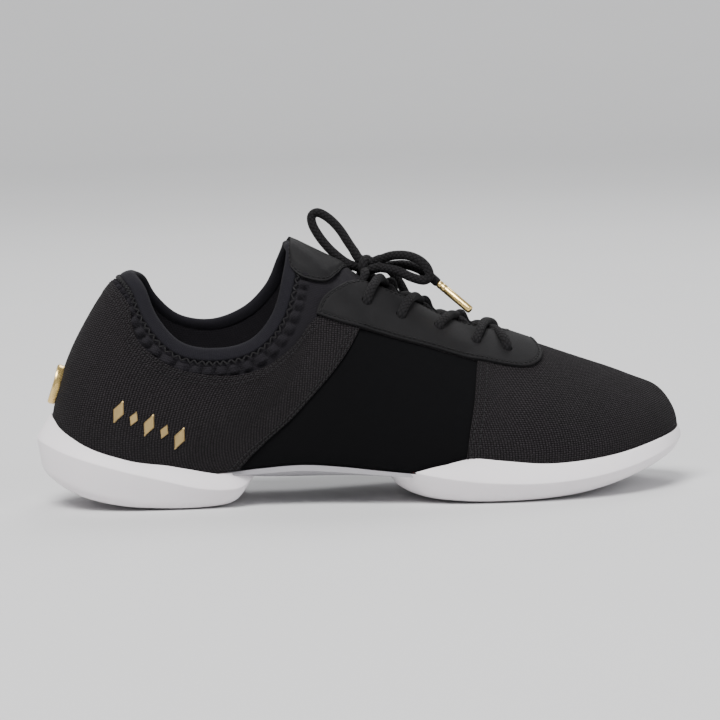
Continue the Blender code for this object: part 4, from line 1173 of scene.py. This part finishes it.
def addBinding(s):  # its section, in millimetres outward and down from the rim, is carried round it
    section = smoothPath(np.array([*s["section"], s["section"][0]]) / 1000, 3)
    take = np.arange(len(rimPoints) + 1) % len(rimPoints)
    rim, normal, down = (part[take][:, None] for part in (rimPoints, rimNormals, rimDown))
    places = rim + normal * section[:, :1] + down * section[:, 1:]
    cloth = clothGrid(runningLength(rimPoints[take])[:, None], runningLength(section)[None])
    makePiece("collar_binding", [(places, cloth)], bindingCloth, ["knit_sock"])


def addZigzag(s):
    count = round(runningLength(rimPoints)[-1] / s["zigzagPitch"]) * 2
    take = np.linspace(0, len(rimPoints) - 1, count).astype(int)
    rim, normal, down = rimPoints[take], rimNormals[take], rimDown[take]
    points = rim + down * np.resize(s["zigzag"], count)[:, None] + normal * (s["out"] - 0.0001)
    seen = (rim[:, 0] <= s["tabFrom"][0]) | (rim[:, 2] <= s["tabFrom"][1])  # the tab covers the rest
    sewing, grids = {**stitching, "pitch": 1.0, "share": 1.0, "thick": s["zigzagThick"]}, []
    for k in np.flatnonzero(seen[:-1]):
        grids += stitchGrids(points[k:k + 2], normal[k:k + 2], sewing)
    addStitches("collar_stitches", grids, thread)


addSock(sock)
addBinding(binding)
addZigzag(sock)
print("collar knitted")


# Leather tab on the top of the tongue, lightly padded and stitched along its edge

tab = {
    "out": -0.0003, "wall": 0.0013, "inset": 0.0015, "start": 0.4020, "front": 0.4850,
    "pad": 0.0005, "padFrom": (0.0022, 0.0052), "groove": 0.0002, "tall": 0.017,
    "edge": (
        (0.3945, 0.978), (0.3925, 0.955), (0.3918, 0.932), (0.3945, 0.900), (0.4056, 0.872),
        (0.4225, 0.855), (0.4420, 0.847), (0.4545, 0.853), (0.4670, 0.870), (0.4760, 0.885),
    ),
}


def addTab(s):
    grids, sewn = [], []
    first, final = ridgePlace(s["start"]), ridgePlace(s["front"])
    for side in sides:
        edge = sideLine(side, s["edge"], start=first, end=final)
        p = panel(
            side, edge, straight(first, final), np.linspace(first, first, 3),
            np.linspace(final, final, 3), ("bottom",), step=0.0008, tall=s["tall"],
        )
        near = p["edge"]["bottom"]
        relief = s["pad"] * softStep(near, *s["padFrom"]) - s["groove"] * dip(near, s["inset"])
        grids += shellGrids(p, s["out"], s["wall"], relief)
        sewn += sewEdge(p, "bottom", s["inset"], (0.06, 0.97), s["out"])
    makePiece("tongue_tab_leather", grids, leather, ["tongue_tab"], weld=2e-5, sharp=40)
    addStitches("tab_stitches", sewn, waxedThread)


addTab(tab)
print("tab sewn")


# Lacing: one strand starts under each bottom eyelet and climbs to the knot, over the throat each time

lacing = {
    "thickness": 0.0040, "over": 0.0031, "ahead": 0.0100, "out": 0.0195,
    "cross": 0.0016, "sag": (0.0048, 0.0030, 0.0040, 0.0031), "hidden": 0.62,
}


def aboveThroat(x, across, out):  # a point over a place seen from above, square to the last
    side = outerSide if across < 0 else innerSide
    row, rise = locate(side, [(x, ridgeY(x) + across)], topView, last["lacedRows"])[0]
    return onLast(side, row, rise, np.array(out))


def strandRoute(side, s):
    # places from above as (x, distance across from the ridge, height over the last, thinning)
    holes = [(float(alongShoe(x)), away * last["width"]) for x, away in eyestay["eyelets"]]
    over, (lowX, lowY) = s["over"], holes[4]
    route = [
        (lowX + 0.0020, side * (lowY - 0.0085), -0.0026, 1),
        (lowX + 0.0008, side * (lowY - 0.0035), -0.0024, 1),
        (lowX, side * (lowY + 0.0002), -0.0006, 0),
        (lowX - 0.0002, side * (lowY - 0.0004), 0.0022, 0),
    ]
    hand = side
    for number in (3, 2, 1, 0):
        (x, y), sag = holes[number], s["sag"][number]
        lift = s["cross"] * hand  # the strands of the outer side lie on top
        if number == 3:
            middle = (x + lowX) / 2
            route += [
                (lowX - 0.0014, hand * (lowY - 0.0046), over, 0),
                (middle + 0.0034, hand * 0.0052, over + lift * 0.5 - sag * 0.4, 0),
            ]
        else:
            far, middle = x + s["out"], x + s["ahead"]
            half = throatHalf(far)
            route += [
                (far + 0.0010, hand * (half + 0.0030), -0.0024, 1),
                (far - 0.0002, hand * (half - 0.0012), -0.0010 + lift * 0.2, 0.4),
            ]
            for part, height in ((0.58, 0.0014 + lift * 0.4), (0.24, 0.0024 + lift * 0.8)):
                along = middle + (far - middle) * part
                route.append((along, hand * half * part, height - sag * part, 0))
        route += [(middle, 0.0, over + lift - sag * 0.8, 0)]
        hand = -hand
        for part, height in ((0.36, over + lift * 0.5 - sag * 0.3), (0.72, over)):
            route.append((middle + (x - middle) * part, hand * y * part, height, 0))
        route += [
            (x + (middle - x) * 0.06, hand * (y - 0.0016), over - 0.0010, 0),
            (x, hand * (y + 0.0004), 0.0008, 0), (x, hand * (y - 0.0004), -0.0016, 0.6),
            (x + 0.0006, hand * (y - 0.0040), -0.0026, 1),
        ]
    x, half = holes[0][0], throatHalf(holes[0][0])
    route += [
        (x - 0.0004, hand * (half + 0.0030), -0.0026, 1),
        (x - 0.0002, hand * (half - 0.0015), -0.0012, 0.5), (x + 0.0006, hand * 0.0098, 0.0012, 0),
    ]
    points = [aboveThroat(*place[:3]) for place in route]
    for ahead, across, up in ((-0.0012, 0.0050, -0.0016), (0.0006, 0.0012, -0.0010)):
        points.append(knotMiddle + np.array((ahead, hand * across, up)))
    return np.array(points), np.array([place[3] for place in route] + [0, 0])


def addStrand(side, name, nodes, s):
    points, thinning = strandRoute(side, s)
    fine = np.linspace(0, len(points) - 1, (len(points) - 1) * 8 + 1)
    thin = np.interp(fine, np.arange(len(points)), thinning)
    radius = s["thickness"] / 2 * (1 - (1 - s["hidden"]) * thin)
    makePiece(name, [cappedTube(smoothRun(points, fine), radius)], laceBraid, nodes)


addStrand(outerSide, "lacing_outer_start", ["lace_cross_1", "lace_cross_3"], lacing)
addStrand(innerSide, "lacing_inner_start", ["lace_cross_2", "lace_cross_4"], lacing)
print("laced")


# Sole pods. Each row is a point of the crease that runs round the pod at its widest

pods = {
    "columns": ("x", "y", "rim", "crease", "edge", "belly", "flare", "tuck"),
    "heel": (
        (0.000, 0.020, 0.990, 0.750, 0.400, 0.165, 0.062, 0.020),
        (0.013, -0.130, 0.945, 0.715, 0.350, 0.145, 0.060, 0.022),
        (0.053, -0.256, 0.830, 0.610, 0.230, 0.085, 0.052, 0.030),
        (0.115, -0.324, 0.680, 0.480, 0.105, 0.030, 0.044, 0.040),
        (0.185, -0.342, 0.560, 0.350, 0.040, 0.008, 0.040, 0.045),
        (0.250, -0.338, 0.462, 0.235, 0.022, 0.005, 0.034, 0.045),
        (0.303, -0.308, 0.425, 0.215, 0.062, 0.020, 0.022, 0.042),
        (0.328, -0.235, 0.408, 0.320, 0.170, 0.060, 0.010, 0.040),
        (0.334, -0.100, 0.402, 0.350, 0.210, 0.080, 0.006, 0.040),
        (0.335, 0.040, 0.402, 0.350, 0.210, 0.080, 0.006, 0.040),
        (0.335, 0.165, 0.402, 0.350, 0.210, 0.080, 0.006, 0.040),
        (0.329, 0.270, 0.408, 0.320, 0.170, 0.060, 0.010, 0.040),
        (0.304, 0.336, 0.440, 0.225, 0.062, 0.020, 0.022, 0.042),
        (0.250, 0.368, 0.490, 0.260, 0.022, 0.005, 0.034, 0.045),
        (0.185, 0.376, 0.580, 0.365, 0.040, 0.008, 0.040, 0.045),
        (0.115, 0.362, 0.695, 0.490, 0.105, 0.030, 0.044, 0.040),
        (0.053, 0.296, 0.835, 0.615, 0.230, 0.085, 0.052, 0.030),
        (0.013, 0.170, 0.945, 0.715, 0.350, 0.145, 0.060, 0.022),
    ),
    "forefoot": (
        (0.527, 0.030, 0.368, 0.345, 0.220, 0.085, 0.006, 0.042),
        (0.522, -0.150, 0.385, 0.365, 0.250, 0.095, 0.006, 0.042),
        (0.523, -0.290, 0.415, 0.395, 0.300, 0.105, 0.008, 0.040),
        (0.543, -0.385, 0.440, 0.395, 0.250, 0.070, 0.014, 0.040),
        (0.585, -0.447, 0.480, 0.330, 0.115, 0.025, 0.022, 0.040),
        (0.640, -0.484, 0.515, 0.265, 0.040, 0.006, 0.028, 0.042),
        (0.700, -0.499, 0.462, 0.225, 0.022, 0.004, 0.030, 0.044),
        (0.765, -0.490, 0.408, 0.210, 0.035, 0.006, 0.030, 0.044),
        (0.830, -0.450, 0.412, 0.235, 0.080, 0.028, 0.028, 0.042),
        (0.890, -0.370, 0.450, 0.295, 0.155, 0.080, 0.026, 0.038),
        (0.942, -0.252, 0.515, 0.375, 0.245, 0.155, 0.024, 0.032),
        (0.982, -0.100, 0.584, 0.462, 0.335, 0.235, 0.015, 0.026),
        (1.000, 0.060, 0.622, 0.512, 0.375, 0.262, 0.012, 0.024),
        (0.985, 0.210, 0.589, 0.470, 0.340, 0.240, 0.015, 0.026),
        (0.945, 0.335, 0.520, 0.380, 0.250, 0.160, 0.024, 0.032),
        (0.892, 0.423, 0.453, 0.300, 0.160, 0.085, 0.026, 0.038),
        (0.830, 0.478, 0.415, 0.240, 0.080, 0.028, 0.028, 0.042),
        (0.762, 0.500, 0.410, 0.215, 0.035, 0.006, 0.030, 0.044),
        (0.698, 0.490, 0.450, 0.225, 0.022, 0.004, 0.030, 0.044),
        (0.638, 0.456, 0.500, 0.265, 0.040, 0.006, 0.028, 0.042),
        (0.583, 0.402, 0.475, 0.330, 0.115, 0.025, 0.022, 0.040),
        (0.545, 0.325, 0.430, 0.385, 0.240, 0.070, 0.014, 0.040),
        (0.530, 0.200, 0.385, 0.360, 0.240, 0.090, 0.007, 0.042),
    ),
    # rings under the pod: the middle of the ring and its size beside the crease's, for x and for y
    "heelUnder": {"middle": 0.165, "belly": (0.172, 0.80, 0.76), "flat": (0.220, 0.32, 0.56)},
    "forefootUnder": {"middle": 0.760, "belly": (0.752, 0.84, 0.80), "flat": (0.690, 0.36, 0.60)},
    "rimInner": 0.060, "between": 9, "clearance": 0.0003, "sharp": 30,
    # for the rim, the crease, the edge and the belly: how far it is rounded, and the rings after it
    "bends": ((0.0008, 0.0005, 0.0030, 0.010), ((), (0.35,), (0.35,), (0.3, 0.6))),
}


def podGrid(rows, under, s):
    count = len(rows) * s["between"]
    at = np.arange(count) / s["between"]
    values = [smoothRun(part, at, True) for part in np.array(rows).T]
    value = dict(zip(s["columns"], values))
    width, tall = last["width"], last["soleHeight"]
    crease = np.stack((alongShoe(value["x"]), value["y"] * width, np.zeros(count)), axis=1)
    ahead = np.roll(crease, -1, axis=0) - np.roll(crease, 1, axis=0)
    out = unit(np.stack((ahead[:, 1], -ahead[:, 0], np.zeros(count)), axis=1))
    middle = np.array((float(alongShoe(under["middle"])), 0, 0))
    if ((crease - middle) * out).sum() < 0:
        out = -out

    def level(key, inset=0.0):
        ring = crease - out * np.reshape(inset, (-1, 1)) * width
        ring[:, 2] = value[key] * tall
        return ring

    def scaled(key, height):
        share, wide, deep = under[key]
        centre = crease[:, 1].mean()
        x = alongShoe(share) + (crease[:, 0] - middle[0]) * wide
        return np.stack((x, centre + (crease[:, 1] - centre) * deep, height), axis=1)

    rim = level("rim", value["flare"])
    corners = [
        rim - out * s["rimInner"] * width, rim, level("crease"), level("edge", value["tuck"]),
        scaled("belly", value["belly"] * tall), scaled("flat", np.zeros(count)),
    ]
    rings = [corners[0]]
    for before, here, after, bend, between in zip(corners, corners[1:], corners[2:], *s["bends"]):
        # each corner is rounded over a set length of the faces on its two sides
        to, onward = before - here, after - here
        reach = [np.minimum(bend / np.linalg.norm(way, axis=1), 0.45)[:, None] for way in (to, onward)]
        start, end = here + to * reach[0], here + onward * reach[1]
        for part in (0.0, 0.25, 0.5, 0.75, 1.0):
            rings.append(start * (1 - part) ** 2 + here * 2 * part * (1 - part) + end * part**2)
        rings += [end * (1 - part) + after * part for part in between]
    flat, lid = corners[-1], rings[0].mean(axis=0)
    for part in (1.0, 0.7, 0.4, 0.15, 0.0):  # the underside closes towards its middle
        rings.append(flat.mean(axis=0) * (1 - part) + flat * part)
    grid = np.array([lid * np.ones((count, 1)), *rings])
    grid = np.concatenate((grid, grid[:, :1]), axis=1)
    return grid, np.stack((runningLength(grid, 1), runningLength(grid, 0)), axis=-1)


def lastBlock(out, drop, topRise=0.62):  # a closed block of the upper's outside, to hollow the pods
    rows = np.linspace(0, toeRow, toeRow * 6 + 1)[None]
    rises = np.linspace(0, topRise, 15)[:, None]
    walls = [onLast(side, rows, rises, np.array([[out]])) for side in sides]
    for wall in walls:
        wall[0, :, 2] -= drop
    ends = [np.stack([wall[k] for wall in walls]) for k in (0, -1)]
    grids = [(part, np.zeros(part.shape[:2] + (2,))) for part in walls + ends]
    return makePiece("lastBlock", grids, canvas, weld=2e-5)


def addPod(name, node, key, block, s):
    grid = podGrid(s[key], s[key + "Under"], s)
    piece = makePiece(name, [grid], whiteFoam, [node], weld=1e-6, sharp=s["sharp"])
    cutBy(piece, block)
    piece.data.shade_smooth()
    piece.data.set_sharp_from_angle(angle=math.radians(s["sharp"]))


block = lastBlock(pods["clearance"], pods["clearance"])
addPod("heel_pod", "heel_sole", "heel", block, pods)
addPod("forefoot_pod", "forefoot_sole", "forefoot", block, pods)
bpy.data.objects.remove(block)
print("sole pods moulded")


# Bridge under the arch, from pod to pod: x, the lowest height of its belly, the thickness of its edge

bridge = {
    "rows": (
        (0.295, 0.300, 0.040), (0.340, 0.266, 0.055), (0.385, 0.250, 0.060), (0.430, 0.250, 0.060),
        (0.475, 0.256, 0.055), (0.520, 0.262, 0.045), (0.565, 0.262, 0.040),
    ),
    "inset": 0.008, "clearance": 0.0003, "ribDepth": 0.0006, "ribs": 9,
}


def addBridge(s):
    across = np.linspace(0, 1, 49)
    hang = (1 - (2 * across - 1) ** 2) ** 0.75
    groove = s["ribDepth"] * (0.5 + 0.5 * np.cos(across * 2 * math.pi * s["ribs"])) ** 6
    inset, under, over = s["inset"] * last["width"], [], []
    for x, lowest, edge in smoothRun(s["rows"], np.linspace(0, len(s["rows"]) - 1, 61)):
        outer, inner = (onLast(side, footPlace(side, x), 0.0) for side in sides)
        top = min(outer[2], inner[2]) - s["clearance"]
        brim = top - edge * last["soleHeight"]
        y = outer[1] + inset + (inner[1] - outer[1] - 2 * inset) * across
        z = brim + (lowest * last["soleHeight"] - brim + groove) * hang
        for rows, height in ((under, z), (over, top)):
            rows.append(np.stack(np.broadcast_arrays(alongShoe(x), y, height), axis=1))
    under, over = np.array(under), np.array(over)
    takes = (0, -1, (slice(None), 0), (slice(None), -1))
    grids = [under, over, *(np.stack((under[take], over[take])) for take in takes)]
    cloth = [(part, part[..., :2]) for part in grids]
    makePiece("arch_bridge_rubber", cloth, bridgeRubber, ["arch_bridge"], sharp=40)


# Insole: a thin cloth-faced footbed with a rounded edge, dished at the heel

insole = {
    "inset": 0.0024, "thick": 0.0040, "rounded": 0.0012, "dish": 0.0010, "dishFrom": (0.004, 0.022),
    "across": (0, 0.004, 0.012, 0.03, *np.linspace(0.06, 0.94, 30), 0.97, 0.988, 0.996, 1),
}


def addInsole(s):
    rows = np.linspace(0, toeRow, 160)
    outer, inner = (
        onLast(side, rows, 0.0) - outward(ringPlace(side, rows)[0]) * s["inset"] for side in sides
    )
    outer[[0, -1]] = inner[[0, -1]] = (outer[[0, -1]] + inner[[0, -1]]) / 2
    across = np.array(s["across"])[:, None]
    base = outer * (1 - across[..., None]) + inner * across[..., None]
    away = np.minimum(across, 1 - across) * np.linalg.norm(inner - outer, axis=1)
    face = base.copy()
    face[..., 2] += s["thick"] - roundedDrop(away, s["rounded"])
    face[..., 2] -= s["dish"] * softStep(away, *s["dishFrom"])
    cloth = face[..., :2]
    grids = [(base, cloth), (face, cloth)]
    for end in (0, -1):
        grids.append((np.stack((base[end], face[end])), np.stack((cloth[end], cloth[end]))))
    makePiece("insole_cloth", grids, insoleCloth, ["insole"], weld=2e-5, sharp=50)


addBridge(bridge)
addInsole(insole)
print("footbed laid")


# Gold: a plain oval plate at the back of the heel, and five printed lozenges on the outer quarter

badge = {
    "wide": 0.0125, "tall": 0.0165, "middle": 0.0520, "gap": 0.0003, "thick": 0.0024, "lip": 0.00035,
    "rings": (*np.linspace(0, 0.70, 12), 0.74, 0.78, 0.82, 0.86, 0.90, 0.935, 0.965, 0.985, 1.0),
}
lozenges = {
    "start": (-0.1055, 0.0432), "end": (-0.0800, 0.0312), "count": 5,
    "sizes": ((0.0028, 0.0062), (0.0022, 0.0040)), "proud": 0.00045, "edge": 0.0009,
}


def addBadge(s):
    share, angle = np.array(s["rings"])[:, None], fullTurn(73)
    centre = sections["footOut"][0] * last["width"]
    y = centre + share * s["wide"] / 2 * np.cos(angle)
    z = s["middle"] + share * s["tall"] / 2 * np.sin(angle)
    flat = np.stack((y, z), axis=-1)
    lipped = s["lip"] * (softStep(share, 0.74, 0.80) - softStep(share, 0.93, 1.0) * 2.2)
    height = np.broadcast_to(s["gap"] + s["thick"] + lipped, y.shape)
    top, foot = np.empty((*y.shape, 3)), np.empty((*y.shape, 3))
    for side, part in ((outerSide, y < centre), (innerSide, y >= centre)):
        row, rise = locate(side, flat[part], backView, last["heelRows"]).T
        top[part] = onLast(side, row, rise, height[part])
        foot[part] = onLast(side, row, rise, np.full(row.shape, s["gap"] * 0.2))
    wall = (np.stack((top[-1], foot[-1])), np.stack((flat[-1], flat[-1])))
    grids = [(top, flat), (foot, flat), wall]
    makePiece("heel_plate", grids, goldMetal, ["heel_badge"], weld=3e-6, sharp=35)


def addLozenges(s):
    grids, (start, end) = [], np.array((s["start"], s["end"]))
    ahead = (end - start) / np.linalg.norm(end - start)
    square = np.array((-ahead[1], ahead[0]))
    a, b = np.meshgrid(np.linspace(-1, 1, 9), np.linspace(-1, 1, 9), indexing="ij")
    height = s["proud"] - s["edge"] * softStep(np.maximum(np.abs(a), np.abs(b)), 0.78, 1.0)
    for k in range(s["count"]):
        wide, tall = s["sizes"][k % 2]
        centre = start + (end - start) * k / (s["count"] - 1)
        along, up = (a + b) / 2 * wide, (a - b) / 2 * tall
        flat = centre + ahead * along[..., None] + square * up[..., None]
        row, rise = locate(outerSide, flat.reshape(-1, 2)).T.reshape(2, 9, 9)
        grids.append((onLast(outerSide, row, rise, height), flat))
    makePiece("gold_lozenges", grids, goldPrint, sharp=50)


addBadge(badge)
addLozenges(lozenges)
print("gold fitted")


# Studio: a pale floor and soft light

studio = {
    "floor": {"colour": (0.62, 0.62, 0.625), "shade": (0.589, 0.589, 0.59375), "roughness": 0.7},
    "sky": (0.97, 0.98, 1.0, 1.0), "skyStrength": 0.42, "flat": 3.0, "reach": 7.0, "rise": 3.2,
    "lamps": (
        ("keyLight", (-0.45, -0.95, 1.75), 1.1, 34.0, (1.0, 0.985, 0.97)),
        ("fillLight", (1.30, -1.05, 0.85), 1.0, 9.0, (0.95, 0.97, 1.0)),
        ("backLight", (0.25, 1.15, 1.50), 1.1, 16.0, (1.0, 1.0, 1.0)),
    ),
    "lampsAim": (0, 0, 0.05), "daylight": (2.5, 30.0, (-0.35, -0.55, 1.0)),
}


def addFloor(s):  # a round floor that sweeps up into the backdrop, so that no edge shows
    radius, angle = np.linspace(0, 1, 61)[:, None] ** 2 * s["reach"], fullTurn(97)
    sweep = np.clip((radius - s["flat"]) / (s["reach"] - s["flat"]), 0, 1) * math.pi / 2
    z = s["rise"] * (1 - np.cos(sweep)) - 0.0001
    x, y, z = np.broadcast_arrays(radius * np.cos(angle), radius * np.sin(angle), z)
    mesh = bpy.data.meshes.new("studio_floor")
    mesh.from_pydata(np.stack((x, y, z), -1).reshape(-1, 3).tolist(), [], gridQuads(61, 97).tolist())
    closeMesh(mesh, 1e-4)
    n = Finish("floor_paint", s["floor"], Specular_IOR_Level=0.2)
    n.paint(n.noise(3.0), s["floor"])
    mesh.materials.append(n.emboss((n.noise(900.0, 2.0), 0.00002)))
    addObject("studio_floor", mesh)


def addLights(s):
    world = bpy.data.worlds.new("studioSky")
    world.use_nodes = True
    sky = world.node_tree.nodes["Background"].inputs
    sky["Color"].default_value, sky["Strength"].default_value = s["sky"], s["skyStrength"]
    bpy.context.scene.world = world
    for name, place, size, power, colour in s["lamps"]:
        lamp = addObject(name, bpy.data.lights.new(name, "AREA"))
        lamp.data.shape, lamp.data.size = "DISK", size
        lamp.data.energy, lamp.data.color = power, colour
        lamp.location = place
        aim = Vector(s["lampsAim"]) - Vector(place)
        lamp.rotation_euler = aim.to_track_quat("-Z", "Y").to_euler()
    strength, spread, toward = s["daylight"]
    sun = addObject("softDaylight", bpy.data.lights.new("softDaylight", "SUN"))
    sun.data.energy, sun.data.angle = strength, math.radians(spread)
    sun.rotation_euler = Vector(toward).to_track_quat("Z", "Y").to_euler()


addFloor(studio)
addLights(studio)
print("studio lit")
